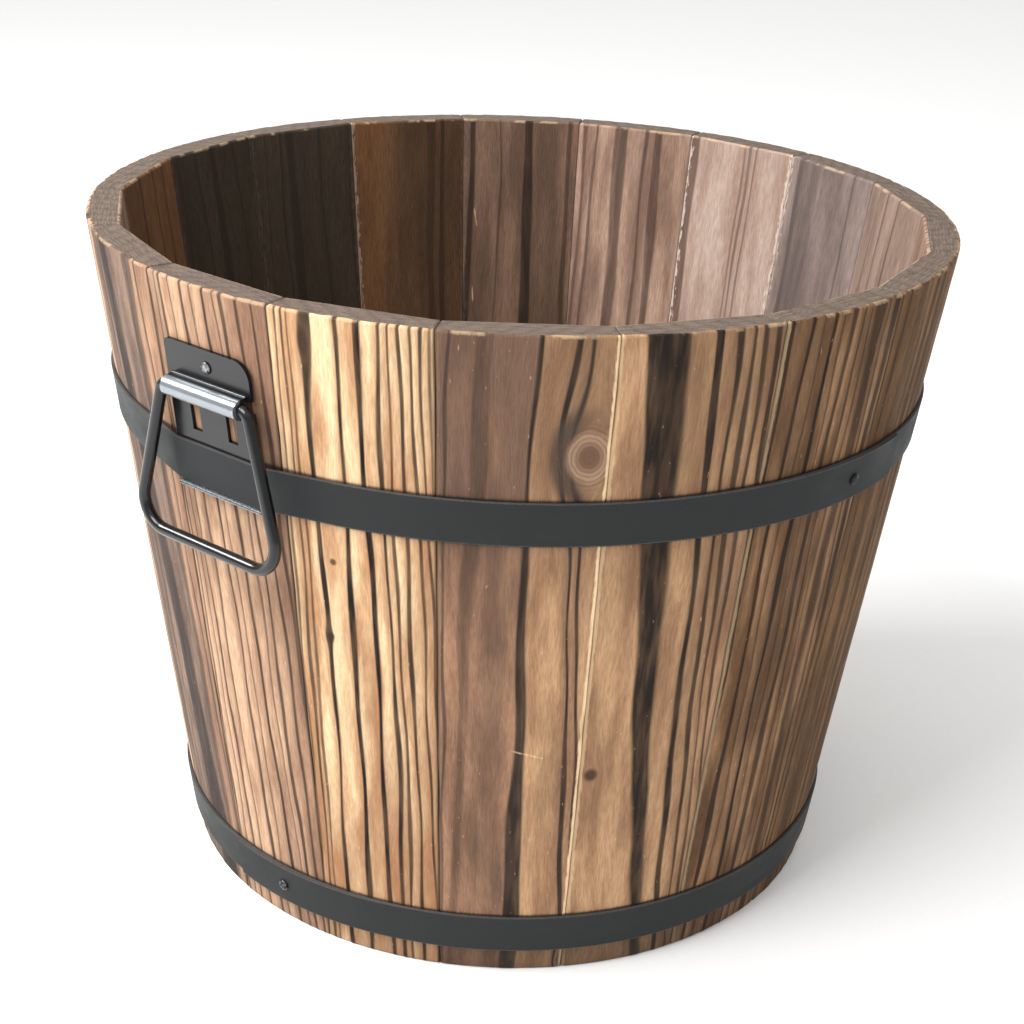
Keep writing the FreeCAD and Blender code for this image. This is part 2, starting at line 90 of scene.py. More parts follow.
class Value:
    """An output of a node, with operators that add Math nodes to its graph."""

    def __init__(self, graph: "Graph", socket: bpy.types.NodeSocket) -> None:
        """Keep the socket and the graph that holds it."""
        self.graph = graph
        self.socket = socket

    def math(self, operation: str, *terms: "Value | Number") -> "Value":
        """Add a Math node with values or numbers in its sockets, and return its result."""
        return self.graph.node("ShaderNodeMath", {"operation": operation}, dict(enumerate(terms)))

    def __add__(self, other: "Value | Number") -> "Value":
        """Sum."""
        return self.math("ADD", self, other)

    __radd__ = __add__

    def __sub__(self, other: "Value | Number") -> "Value":
        """Difference."""
        return self.math("SUBTRACT", self, other)

    def __rsub__(self, other: Number) -> "Value":
        """Difference from a number."""
        return self.math("SUBTRACT", other, self)

    def __mul__(self, other: "Value | Number") -> "Value":
        """Product."""
        return self.math("MULTIPLY", self, other)

    __rmul__ = __mul__

    def __abs__(self) -> "Value":
        """Size without sign."""
        return self.math("ABSOLUTE", self)


class Graph:
    """The node tree of one material."""

    def __init__(self, name: str) -> None:
        """Start a material with an empty tree.

        Args:
            name: Name of the material.
        """
        self.material = bpy.data.materials.new(name)
        self.material.use_nodes = True
        self.tree = self.material.node_tree
        self.tree.nodes.clear()

    def add(
        self, kind: str, settings: Settings | None = None, sockets: Sockets | None = None
    ) -> bpy.types.Node:
        """Add any node.

        Args:
            kind: The node's Blender type.
            settings: The node's own settings, set first.
            sockets: Values to link or numbers to set, by the socket's name or place.

        Returns:
            The node.
        """
        made = self.tree.nodes.new(kind)
        for name, setting in (settings or {}).items():
            setattr(made, name, setting)
        for key, value in (sockets or {}).items():
            if isinstance(value, Value):
                self.tree.links.new(value.socket, made.inputs[key])
            else:
                made.inputs[key].default_value = value
        return made

    def node(
        self,
        kind: str,
        settings: Settings | None = None,
        sockets: Sockets | None = None,
        output: str | int = 0,
    ) -> Value:
        """Add any node and take one of its outputs, given by name or place."""
        return Value(self, self.add(kind, settings, sockets).outputs[output])

    def place(self, turn: float = 0.0) -> tuple[Value, Value, Value]:
        """Read the place on the object in millimetres, in axes turned about the upright.

        Args:
            turn: Degrees from the frame's X axis to the first axis returned.

        Returns:
            The distance out along the turned axis, across it, and the height.
        """
        spot = self.node("ShaderNodeTexCoord", output="Object")
        turned = self.node(
            "ShaderNodeVectorRotate",
            {"rotation_type": "Z_AXIS"},
            {"Vector": spot, "Angle": -math.radians(turn)},
        )
        scaled = self.node("ShaderNodeVectorMath", {"operation": "SCALE"}, {0: turned, "Scale": 1 / MM})
        parts = self.add("ShaderNodeSeparateXYZ", sockets={0: scaled})
        return tuple(Value(self, parts.outputs[axis]) for axis in "XYZ")

    def noise(self, x: Value, y: Value, z: Value, detail: float = 2.0, rough: float = 0.5) -> Value:
        """Add noise from about 0 to 1 at a scaled place.

        Args:
            x: First coordinate, counted in the noise's own grains.
            y: Second coordinate.
            z: Third coordinate.
            detail: Number of finer layers.
            rough: Strength of the finer layers.

        Returns:
            The noise.
        """
        spot = self.node("ShaderNodeCombineXYZ", sockets={0: x, 1: y, 2: z})
        sockets = {"Vector": spot, "Scale": 1.0, "Detail": detail, "Roughness": rough}
        return self.node("ShaderNodeTexNoise", {"normalize": True}, sockets, "Fac")

    def mix(self, share: Value | Number, first: Value | Colour, second: Value | Colour) -> Value:
        """Mix two colours by the share of the second."""
        settings = {"data_type": "RGBA", "clamp_factor": True}
        return self.node("ShaderNodeMix", settings, {0: share, 6: first, 7: second}, 2)

    def tint(self, colour: Value | Colour, level: Value) -> Value:
        """Make a colour lighter or darker.

        Args:
            colour: The colour.
            level: Level to multiply it by, around 1.

        Returns:
            The new colour.
        """
        grey = self.node("ShaderNodeCombineColor", sockets={0: level, 1: level, 2: level})
        settings = {"data_type": "RGBA", "blend_type": "MULTIPLY"}
        return self.node("ShaderNodeMix", settings, {0: 1.0, 6: colour, 7: grey}, 2)

    def close(
        self,
        colour: Value | Colour,
        roughness: Value | Number,
        relief: Value,
        depth: float,
        fixed: Sockets | None = None,
    ) -> bpy.types.Material:
        """End the tree in a surface.

        Args:
            colour: Base colour.
            roughness: Roughness.
            relief: Height of the fine relief, 0 to 1.
            depth: How deep the relief is, in millimetres.
            fixed: Other sockets of the surface that are the same all over.

        Returns:
            The finished material.
        """
        heights = {"Strength": 1.0, "Distance": depth * MM, "Height": relief}
        bump = self.node("ShaderNodeBump", sockets=heights)
        sockets = {"Base Color": colour, "Roughness": roughness, "Normal": bump, **(fixed or {})}
        surface = self.node("ShaderNodeBsdfPrincipled", sockets=sockets)
        self.add("ShaderNodeOutputMaterial", sockets={"Surface": surface})
        return self.material


Field = Value | np.ndarray


def sine(field_value: Field) -> Field:
    """Sine of a shader value or of an array."""
    return field_value.math("SINE", field_value) if isinstance(field_value, Value) else np.sin(field_value)


def larger(first: Field, second: Field | Number) -> Field:
    """Larger of two shader values or arrays."""
    return first.math("MAXIMUM", first, second) if isinstance(first, Value) else np.maximum(first, second)


def fading(size: Field) -> Field:
    """One at 0, falling off as a bell: exp(-size), for a shader value or an array."""
    return (size * -1.0).math("EXPONENT", size * -1.0) if isinstance(size, Value) else np.exp(-size)


def ramp(field_value: Field, low: float, high: float, start: float = 0.0, end: float = 1.0) -> Field:
    """Go smoothly from one number to another while a value rises.

    Args:
        field_value: Shader value or array.
        low: Where the change starts.
        high: Where it ends.
        start: Result below low.
        end: Result above high.

    Returns:
        The result, of the same kind as the value.
    """
    if isinstance(field_value, Value):
        sockets = {"Value": field_value, "From Min": low, "From Max": high, "To Min": start, "To Max": end}
        settings = {"interpolation_type": "SMOOTHSTEP"}
        return field_value.graph.node("ShaderNodeMapRange", settings, sockets)
    share = np.clip((field_value - low) / (high - low), 0, 1)
    return start + (end - start) * share * share * (3 - 2 * share)


@dataclass(frozen=True)
class Streak:
    """A dark line of late wood on a stave, in millimetres.

    It runs straight from its place across the stave at the rim to its place at the foot. Its width is the
    same all along, unless another is given for the foot.
    """

    rim: float
    foot: float
    width: float
    char: float
    foot_width: float | None = None

    @property
    def widths(self) -> tuple[float, float]:
        """Width at the rim and at the foot."""
        return self.width, self.width if self.foot_width is None else self.foot_width


def streaks(*rows: tuple[float, ...]) -> tuple[Streak, ...]:
    """Make streaks from rows of numbers in the order of a streak's fields."""
    return tuple(Streak(*row) for row in rows)


@dataclass(frozen=True)
class Knot:
    """A knot in a stave, in millimetres; a ringed one shows its growth rings."""

    across: float
    height: float
    radius: float
    ringed: bool = False
    stretch: float = 1.1


@dataclass(frozen=True)
class Scratch:
    """A pale scratch across the grain, in millimetres, with its slope in degrees."""

    across: float
    height: float
    length: float
    slope: float


@dataclass(frozen=True)
class Grain:
    """The grain lines of one face, worked out alike for its shader and for its mesh.

    The wood browns towards each line from the side of the pith, and is pale straight after it.
    """

    streaks: tuple[Streak, ...]
    knots: tuple[Knot, ...] = ()
    phase: float = 0.0
    sway: float = 0.5
    wander: float = 0.4
    pith: int = -1
    browning: float = 3.0

    def bent(self, across: Field, height: Field) -> Field:
        """Place across as the grain counts it: the lines sway, wander apart and pass round the knots.

        Args:
            across: Place across the stave.
            height: Height.

        Returns:
            The place.
        """
        place = across + self.sway * sine(height * 0.027 + self.phase)
        place = place + self.sway * 0.45 * sine(height * 0.081 + 2.3 * self.phase)
        place = place + self.wander * sine(height * 0.043 + across * 0.33 + 1.7 * self.phase)
        place = place + self.wander * 0.5 * sine(height * 0.12 - across * 0.57 + 3.1 * self.phase)
        for knot in self.knots:
            side = across - knot.across
            wide = side * (1 / (1.5 * knot.radius))
            tall = (height - knot.height) * (1 / (2.4 * knot.stretch * knot.radius))
            place = place - side * fading(wide * wide + tall * tall)
        return place

    def swell(self, place: Field, height: Field) -> Field:
        """How much the lines thicken, or thin below 0, as they run along the stave."""
        slow = sine(height * 0.023 - place * 0.4 + 2.0 * self.phase)
        return 0.25 * sine(height * 0.061 + place * 0.7 + self.phase) + 0.2 * slow

    def offsets(self, place: Field, height: Field) -> list[Field]:
        """How far a place lies from the middle of each line, below 0 on the line's left."""
        return [
            place - (height * ((streak.rim - streak.foot) / BARREL_HEIGHT) + streak.foot)
            for streak in self.streaks
        ]

    def char(self, offsets: list[Field], height: Field, swell: Field) -> Field:
        """How dark the lines are at a place.

        Args:
            offsets: Distances from the lines.
            height: Height.
            swell: How much the lines thicken.

        Returns:
            The darkness, 0 to 1.
        """
        total = None
        for streak, offset in zip(self.streaks, offsets):
            rim_width, foot_width = streak.widths
            widest = max(streak.widths)
            past = abs(offset) - swell * (min(widest, 2.0) / 2) - foot_width / 2
            if rim_width != foot_width:
                past = past - height * ((rim_width - foot_width) / 2 / BARREL_HEIGHT)
            soft = 0.25 + 0.06 * widest
            line = ramp(past, -soft, soft, streak.char, 0.0)
            total = line if total is None else larger(total, line)
        return total

    def brown(self, offsets: list[Field]) -> Field:
        """How brown the wood is on its way to the next line.

        Args:
            offsets: Distances from the lines.

        Returns:
            The share of brown, 0 to 1.
        """
        total = None
        for streak, offset in zip(self.streaks, offsets):
            towards = offset if self.pith < 0 else offset * -1.0
            rise = ramp(towards, -self.browning, 0.0, 0.0, streak.char) * ramp(towards, 0.2, 0.8, 1.0, 0.0)
            total = rise if total is None else larger(total, rise)
        return total


class Sawing(Enum):
    """How a stave was cut from the log, which sets its grain lines."""

    QUARTER = "straight dark lines"
    FINE = "many thin lines"
    FLAT = "a broad band and few lines"


def seeded_grain(seed: int, sawing: Sawing) -> Grain:
    """Draw the grain of a stave that the photograph doesn't show.

    Args:
        seed: Number that fixes the drawing.
        sawing: How the stave was cut.

    Returns:
        Its grain.
    """
    draw = random.Random(seed)
    half_width = 29
    slant = draw.uniform(-6, 6)
    rows = []
    if sawing is Sawing.FLAT:
        middle = draw.uniform(-12, 12)
        ends = sorted((draw.uniform(1.5, 4), draw.uniform(6, 12)), reverse=draw.random() < 0.5)
        rows.append((middle - slant, middle + slant, ends[0], 0.85, ends[1]))
    gaps, widths, chars = {
        Sawing.QUARTER: ((4.5, 8.5), (0.9, 1.9), (0.7, 0.95)),
        Sawing.FINE: ((2.6, 5.2), (0.6, 1.2), (0.4, 0.8)),
        Sawing.FLAT: ((5.0, 14.0), (0.7, 1.5), (0.4, 0.85)),
    }[sawing]
    at = -half_width + draw.uniform(0, 4)
    while at < half_width:
        width = draw.uniform(*widths)
        rows.append((at - slant / 2, at + slant / 2, width, draw.uniform(*chars)))
        at += draw.uniform(*gaps)
    pith = draw.choice((-1, 1))
    return Grain(streaks(*rows), phase=draw.uniform(0, 6), sway=draw.uniform(0.3, 0.8), pith=pith)


@dataclass(frozen=True)
class Palette:
    """Colours of one face of the wood, with the share of its surface that the torch smoked."""

    light: Colour
    mid: Colour
    smoke: Colour
    line: Colour
    soot: float = 0.4


@dataclass(frozen=True)
class KnotWood:
    """Colours of a knot: the charred wood beside it, its pale and dark rings, its core, and a small knot."""

    halo: Colour = shade(66, 55, 48)
    pale: Colour = shade(156, 127, 104)
    ring: Colour = shade(92, 69, 55)
    core: Colour = shade(96, 69, 54)
    small: Colour = shade(52, 34, 26)


RAW_WOOD = shade(226, 196, 156)
DUSTY_WOOD = shade(212, 196, 182)
SEAM_SOOT = shade(44, 32, 26)
# Painted shade: dark colour for the strip under the lower hoop.
FOOT_SHADE = shade(44, 34, 29)
# Painted shade: dark colour for the wood along the hoop edges, where the straps shade it.
HOOP_EDGE_SHADE = shade(36, 28, 24)
ASH = Palette(shade(122, 99, 84), shade(91, 74, 64), shade(72, 60, 53), shade(42, 34, 31), 0.5)
ROSE = Palette(shade(187, 153, 124), shade(147, 114, 91), shade(108, 82, 67), shade(36, 24, 18), 0.4)
RUSSET = Palette(shade(162, 127, 101), shade(130, 98, 78), shade(102, 77, 63), shade(36, 24, 18), 0.45)
HONEY = Palette(shade(220, 190, 150), shade(176, 134, 98), shade(128, 85, 56), shade(14, 11, 11), 0.55)
SMOKED = Palette(shade(154, 117, 91), shade(118, 88, 69), shade(82, 64, 55), shade(28, 23, 20), 0.7)
BISCUIT = Palette(shade(178, 141, 106), shade(142, 107, 80), shade(96, 71, 52), shade(20, 16, 14), 0.45)
# Umber and walnut are darker than the wood alone: they also carry painted shade for the staves on the
# planter's shadowed right side.
UMBER_AND_SHADE = Palette(shade(152, 117, 85), shade(101, 73, 49), shade(71, 49, 33), shade(27, 17, 9), 0.5)
WALNUT_AND_SHADE = Palette(shade(122, 89, 56), shade(90, 62, 36), shade(66, 45, 26), shade(36, 23, 12), 0.5)


class Face(Enum):
    """The faces of a stave, in the order of its material slots."""

    OUTSIDE = 0
    INSIDE = 1
    END = 2


@dataclass(frozen=True)
class CharredFir:
    """Torched and brushed fir on the outside or the inside of a stave.

    Beyond the split the face takes the far palette. A rising above 0 puts more smoke towards the rim, one
    below 0 towards the foot. The left and right edges are bare by the raw shares, and the strip under the
    lower hoop is darkened by its own share, as painted shade.
    """

    face: Face
    grain: Grain
    palette: Palette
    far_palette: Palette | None = None
    split: float = 0.0
    blur: float = 4.0
    rising: float = 0.0
    raw_left: float = 0.04
    raw_right: float = 0.04
    scratches: tuple[Scratch, ...] = ()
    foot_shade: float = 0.15
    knot_wood: KnotWood = KnotWood()
    depth: float = 0.35
    shine: float = 0.15

    def dress(self, name: str, turn: float) -> bpy.types.Material:
        """Make the material.

        Args:
            name: Name of the material.
            turn: Degrees round the barrel to the stave's middle.

        Returns:
            The material.
        """
        graph = Graph(name)
        out, across, height = graph.place(turn)
        bent = self.grain.bent(across, height)
        seed = self.grain.phase * 17
        fibre = graph.noise(bent * 1.6, out * 1.6, height * 0.009 + seed, 4, 0.6)
        patch = graph.noise(bent * 0.16 + seed, out * 0.16, height * 0.006, 2)
        cloud = graph.noise(bent * 0.06, out * 0.06 + seed, height * 0.011, 2, 0.45)
        cloud = cloud + height * (self.rising / BARREL_HEIGHT) - self.rising / 2
        fade = graph.noise(bent * 0.4, out * 0.4, height * 0.014 + seed, 2)
        fleck = graph.noise(bent * 1.3, out * 1.3 + seed, height * 0.3, 1)
        colour = self._timber(graph, self.palette, fibre, patch, cloud)
        if self.far_palette:
            beyond = ramp(bent + patch * 3, self.split, self.split + self.blur)
            far = self._timber(graph, self.far_palette, fibre, patch, cloud)
            colour = graph.mix(beyond, colour, far)
        offsets = self.grain.offsets(bent, height)
        char = self.grain.char(offsets, height, self.grain.swell(bent, height))
        brown = self.grain.brown(offsets) * ramp(patch, 0.3, 0.7, 0.75, 0.35)
        colour = graph.mix(brown, colour, self.palette.smoke)
        uneven = ramp(fade + fibre * 0.3, 0.5, 0.85, 1.0, 0.8)
        colour = graph.mix(char * uneven, colour, self.palette.line)
        colour = self._knots(graph, colour, across, height, fibre + patch)
        for scratch in self.scratches:
            colour = graph.mix(self._scratched(scratch, across, height, fibre), colour, RAW_WOOD)
        if self.face is Face.OUTSIDE:
            colour = graph.mix(ramp(fleck, 0.75, 0.81, 0.0, 0.3), colour, RAW_WOOD)
        colour = self._edges(graph, colour, (out, across, height), fibre, patch, fleck)
        roughness = ramp(fibre + patch * 0.5, 0.4, 1.0, 0.6, 0.8)
        relief = fibre * 0.7 + char * 0.3
        return graph.close(colour, roughness, relief, self.depth, {"Specular IOR Level": self.shine})

    def _timber(self, graph: Graph, palette: Palette, fibre: Value, patch: Value, cloud: Value) -> Value:
        """Wood without its lines: light and darker growth, thin fibres and torch smoke.

        Args:
            graph: Graph of the material.
            palette: Colours of the wood.
            fibre: Fine noise along the grain.
            patch: Coarse noise along the grain.
            cloud: Broad noise of the smoke.

        Returns:
            The colour.
        """
        colour = graph.mix(ramp(patch, 0.33, 0.67), palette.light, palette.mid)
        colour = graph.tint(colour, ramp(fibre, 0.25, 0.75, 1.18, 0.8))
        return graph.mix(ramp(cloud, 0.4, 0.68, 0.0, palette.soot), colour, palette.smoke)

    def _scratched(self, scratch: Scratch, across: Value, height: Value, fibre: Value) -> Value:
        """Share of bare wood that a scratch shows at a place.

        Args:
            scratch: The scratch.
            across: Place across the stave.
            height: Height.
            fibre: Fine noise that breaks it up.

        Returns:
            The share, 0 to 1.
        """
        slope = math.radians(scratch.slope)
        right, up = across - scratch.across, height - scratch.height
        along = right * math.cos(slope) + up * math.sin(slope)
        off = up * math.cos(slope) - right * math.sin(slope)
        inside = ramp(abs(along) + fibre * 4.0, scratch.length / 2, scratch.length / 2 + 2.0, 1.0, 0.0)
        return ramp(abs(off) + fibre * 1.2, 0.5, 1.1, 0.55, 0.0) * inside

    def _knots(self, graph: Graph, colour: Value, across: Value, height: Value, uneven: Value) -> Value:
        """Draw the knots over the wood.

        Args:
            graph: Graph of the material.
            colour: Colour so far.
            across: Place across the stave.
            height: Height.
            uneven: Noise about 1 that puts them out of round.

        Returns:
            The colour with the knots.
        """
        wood = self.knot_wood
        for knot in self.grain.knots:
            wide = (across - knot.across) * (1 / knot.radius)
            tall = (height - knot.height) * (1 / (knot.stretch * knot.radius))
            square = wide * wide + tall * tall
            reach = square.math("SQRT", square) + uneven * 0.15 - 0.15
            if knot.ringed:
                halo = ramp(reach + uneven * 0.5, 1.8, 2.4, 0.85, 0.0) * ramp(wide, -0.9, 0.5, 1.0, 0.2)
                colour = graph.mix(halo, colour, wood.halo)
                colour = graph.mix(ramp(reach, 0.72, 1.0, 0.85, 0.0), colour, wood.pale)
                rings = ramp(sine(reach * 40.0), -0.2, 1.0, 0.0, 0.45) * ramp(reach, 0.9, 1.4, 1.0, 0.0)
                colour = graph.mix(rings, colour, wood.ring)
                colour = graph.mix(ramp(reach, 0.25, 0.7, 0.9, 0.0), colour, wood.core)
            else:
                colour = graph.mix(ramp(reach, 0.5, 1.3, 0.85, 0.0), colour, wood.small)
        return colour

    def _edges(
        self,
        graph: Graph,
        colour: Value,
        place: tuple[Value, Value, Value],
        fibre: Value,
        patch: Value,
        fleck: Value,
    ) -> Value:
        """Char or bare the wood along its edges, and paint shade beside the hoops and on the strip under the
        lower hoop.

        Args:
            graph: Graph of the material.
            colour: Colour so far.
            place: Place out from the barrel's axis, across the stave and up.
            fibre: Fine noise along the grain.
            patch: Coarse noise along the grain.
            fleck: Noise of small spots.

        Returns:
            The colour with its edges.
        """
        out, across, height = place
        top = ramp(height + fibre * 1.6, BARREL_HEIGHT - 0.3, BARREL_HEIGHT + 0.3)
        colour = graph.mix(top * ramp(patch, 0.5, 0.62, 0.0, 0.3), colour, RAW_WOOD)
        inset = out * math.tan(HALF_PITCH) - abs(across)
        seam = 0.8 if self.face is Face.OUTSIDE else 0.25
        colour = graph.mix(ramp(inset + fibre * 0.8, 0.4, 1.5, seam, 0.0), colour, SEAM_SOOT)
        right = ramp(across, -1.0, 1.0)
        bare = right * (self.raw_right - self.raw_left) + self.raw_left
        ragged, wood = fibre * 1.6, RAW_WOOD
        if self.face is Face.INSIDE:
            ragged, wood = fleck * 4.5 - 1.3, DUSTY_WOOD
        chipped = ramp(inset + ragged, 1.5, 2.2, 1.0, 0.0) * bare
        colour = graph.mix(chipped * ramp(patch, 0.25, 0.45), colour, wood)
        if self.face is Face.OUTSIDE:
            # Painted shade: the strip under the lower hoop is darkened by the foot share.
            foot = ramp(height + fibre * 4.0, 11.5, 15.0, self.foot_shade, 0.0)
            colour = graph.mix(foot, colour, FOOT_SHADE)
            # Painted shade: a dark line along both edges of each hoop, where the strap shades the wood.
            for lift in HOOP_LIFTS.values():
                beside = abs(height - (lift + HOOP_WIDTH / 2)) - HOOP_WIDTH / 2
                colour = graph.mix(ramp(beside - fibre * 0.6, -0.2, 1.0, 0.8, 0.0), colour, HOOP_EDGE_SHADE)
        return colour


@dataclass(frozen=True)
class SawnEnd:
    """Rough sawn end grain, greyed, with growth rings across it and bare splinters at its outer edge."""

    light: Colour = shade(115, 100, 89)
    mid: Colour = shade(92, 79, 70)
    ring: Colour = shade(60, 50, 44)
    roughness: float = 0.8
    depth: float = 0.5
    shine: float = 0.2

    def dress(self, name: str, turn: float, seed: float) -> bpy.types.Material:
        """Make the material.

        Args:
            name: Name of the material.
            turn: Degrees round the barrel to the stave's middle.
            seed: Number that makes its grain its own.

        Returns:
            The material.
        """
        graph = Graph(name)
        out, across, height = graph.place(turn)
        pores = graph.noise(across * 2.4, out * 2.4, height * 2.4 + seed, 2)
        sawn = graph.noise(across * 0.12, out * 1.6, height * 0.5 + seed, 3, 0.6)
        slope = math.sin(seed)
        rings = ramp(sine((across + out * slope) * 0.9 + sawn * 9.0), 0.2, 1.0, 0.0, 0.3)
        colour = graph.mix(ramp(sawn, 0.35, 0.65), self.light, self.mid)
        colour = graph.mix(rings, colour, self.ring)
        colour = graph.tint(colour, ramp(pores, 0.3, 0.7, 1.15, 0.75))
        rim = out + across * across * (1 / (2 * RIM_RADIUS)) + pores * 1.2
        splinters = ramp(rim, RIM_RADIUS - 0.3, RIM_RADIUS + 0.1) * ramp(sawn, 0.5, 0.6, 0.0, 0.8)
        colour = graph.mix(splinters, colour, RAW_WOOD)
        relief = pores * 0.6 + sawn * 0.4
        return graph.close(colour, self.roughness, relief, self.depth, {"Specular IOR Level": self.shine})


@dataclass(frozen=True)
class BlackPaint:
    """Black paint on steel, with dust, rubbed spots and edges in the bare colour, which on the handle plate
    is light and paints a highlight.

    Beyond a distance out from the barrel's axis, if one is given, it is lightened to bright metal as a
    painted highlight.
    """

    colour: Colour
    rubbed: Colour
    roughness: float
    grain: float
    shine: float = 0.4
    edges: tuple[float, ...] = ()
    # Worn bare steel on the straps; on the handle plate a light colour here is a painted highlight.
    bare: Colour = shade(84, 82, 80)
    painted_highlight_from: float | None = None

    def dress(self, name: str, turn: float = 0.0) -> bpy.types.Material:
        """Make the material.

        Args:
            name: Name of the material.
            turn: Degrees round the barrel to the piece's middle.

        Returns:
            The material.
        """
        graph = Graph(name)
        x, y, z = graph.place(turn)
        cloud = graph.noise(x * 0.04, y * 0.04, z * 0.09, 4, 0.6)
        grit = graph.noise(x * 2.2, y * 2.2, z * 2.2, 3)
        colour = graph.mix(ramp(cloud + grit * 0.25, 0.5, 0.85, 0.0, 0.7), self.colour, self.rubbed)
        for edge in self.edges:
            worn = ramp(abs(z - edge) + grit * 0.9, 0.35, 0.9, 0.7, 0.0)
            colour = graph.mix(worn, colour, self.bare)
        roughness = ramp(cloud + grit * 0.3, 0.4, 0.9, self.roughness, self.roughness * 1.35)
        fixed = {"Specular IOR Level": self.shine}
        # Painted highlight: past this distance the hood's outer face turns to light metal, so it shows bright
        # bands like a glossy roll.
        if self.painted_highlight_from is not None:
            steel = ramp(x + grit * 0.5, self.painted_highlight_from, self.painted_highlight_from + 1.4, 0.0, 0.75)
            colour = graph.mix(steel, colour, self.bare)
            fixed["Metallic"] = steel
        return graph.close(colour, roughness, grit, self.grain, fixed)


@dataclass(frozen=True)
class NailSteel:
    """Blackened nail steel with hammer marks."""

    colour: Colour = shade(92, 92, 94)
    hollow: Colour = shade(40, 39, 38)
    depth: float = 0.25

    def dress(self, name: str) -> bpy.types.Material:
        """Make the material.

        Args:
            name: Name of the material.

        Returns:
            The material.
        """
        graph = Graph(name)
        x, y, z = graph.place()
        marks = graph.noise(x * 0.9, y * 0.9, z * 0.9, 2)
        colour = graph.mix(ramp(marks, 0.35, 0.65), self.colour, self.hollow)
        return graph.close(colour, ramp(marks, 0.3, 0.7, 0.25, 0.5), marks, self.depth, {"Metallic": 1.0})


@dataclass(frozen=True)
class SawnBoard:
    """Plain sawn fir of the bottom: arched growth lines along the boards, and dark joints between them."""

    light: Colour = shade(172, 135, 102)
    dark: Colour = shade(104, 75, 54)
    damp: Colour = shade(70, 56, 46)
    joint: Colour = shade(38, 29, 24)
    depth: float = 0.3

    def dress(self, name: str, seed: int, low: float, high: float) -> bpy.types.Material:
        """Make the material of one board.

        Args:
            name: Name of the material.
            seed: Number that makes its grain its own.
            low: Where the board starts across the bottom, in millimetres.
            high: Where it ends.

        Returns:
            The material.
        """
        draw = random.Random(seed)
        graph = Graph(name)
        x, y, z = graph.place()
        side = y - (low + high) / 2 + draw.uniform(-18, 18)
        deep = x * draw.choice((-0.16, -0.1, 0.1, 0.16)) + draw.uniform(30, 50)
        square = side * side + deep * deep
        warp = graph.noise(x * 0.012 + seed * 7.0, y * 0.05, z * 0.05, 2) * 9.0
        rings = ramp(sine(square.math("SQRT", square) * 1.15 + warp), 0.1, 0.95)
        fibre = graph.noise(x * 0.03 + seed * 3.0, y * 1.2, z * 1.2, 4, 0.6)
        stain = graph.noise(x * 0.02, y * 0.02, z * 0.02 + seed * 5.0, 3)
        inset = (high - low) / 2 - abs(y - (low + high) / 2)
        colour = graph.mix(rings * 0.7, self.light, self.dark)
        paler = draw.uniform(0.85, 1.1)
        colour = graph.tint(colour, ramp(fibre, 0.25, 0.75, 1.1 * paler, 0.8 * paler))
        colour = graph.mix(ramp(stain, 0.45, 0.7, 0.0, 0.5), colour, self.damp)
        colour = graph.mix(ramp(inset + fibre * 0.8, 0.5, 1.5, 0.85, 0.0), colour, self.joint)
        return graph.close(colour, ramp(fibre, 0.3, 0.7, 0.6, 0.8), fibre * 0.7 + rings * 0.3, self.depth)


def wavy(draw: np.random.Generator, count: int, knots: int) -> np.ndarray:
    """Noise from 0 to 1 at a count of points along a line, drawn straight between random knots."""
    return np.interp(np.linspace(0, knots - 1, count), np.arange(knots), draw.random(knots))


def arc(across: float, height: float, radius: float, turns: np.ndarray) -> list[tuple[float, float]]:
    """Points of an arc about a centre, one for each turn in radians."""
    return [(across + radius * math.cos(turn), height + radius * math.sin(turn)) for turn in turns]


def tube(rings: int, size: int, closed: bool = False) -> list[tuple[int, ...]]:
    """Join rings of points that follow one another with faces.

    Args:
        rings: Number of rings.
        size: Points of a ring.
        closed: Whether the last ring joins the first.

    Returns:
        The faces, ring by ring.
    """
    faces = []
    for ring in range(rings if closed else rings - 1):
        start, after = ring * size, (ring + 1) % rings * size
        for spot in range(size):
            beside = (spot + 1) % size
            faces.append((start + spot, start + beside, after + beside, after + spot))
    return faces


def put_in_scene(name: str, data: bpy.types.ID) -> bpy.types.Object:
    """Make an object of a mesh, a light or a camera, and link it to the scene.

    Args:
        name: Name of the object.
        data: The mesh, the light or the camera.

    Returns:
        The object.
    """
    made = bpy.data.objects.new(name, data)
    bpy.context.scene.collection.objects.link(made)
    return made


def new_piece(
    name: str, body: str, mesh: bpy.types.Mesh, nodes: Sequence[str]
) -> bpy.types.Object:
    """Put a mesh in the scene as a piece that stands for CAD nodes.

    Args:
        name: Name of the piece.
        body: CAD body that it rides on.
        mesh: Its mesh, in the frame's axes.
        nodes: CAD nodes that it stands for.

    Returns:
        The piece.
    """
    piece = put_in_scene(name, mesh)
    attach(piece, body)
    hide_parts(*nodes)
    piece.modifiers.new("even_normals", "WEIGHTED_NORMAL").keep_sharp = True
    LOG.info("%s: %d faces on %s", name, len(mesh.polygons), body)
    return piece


def smooth(mesh: bpy.types.Mesh, angle: float) -> None:
    """Shade a mesh smooth, with edges sharper than an angle in degrees kept."""
    mesh.shade_smooth()
    mesh.set_sharp_from_angle(angle=math.radians(angle))


def face_outward(mesh: bpy.types.Mesh) -> None:
    """Turn all faces of a closed mesh outward.

    Args:
        mesh: The mesh.
    """
    work = bmesh.new()
    work.from_mesh(mesh)
    bmesh.ops.recalc_face_normals(work, faces=work.faces)
    work.to_mesh(mesh)
    work.free()


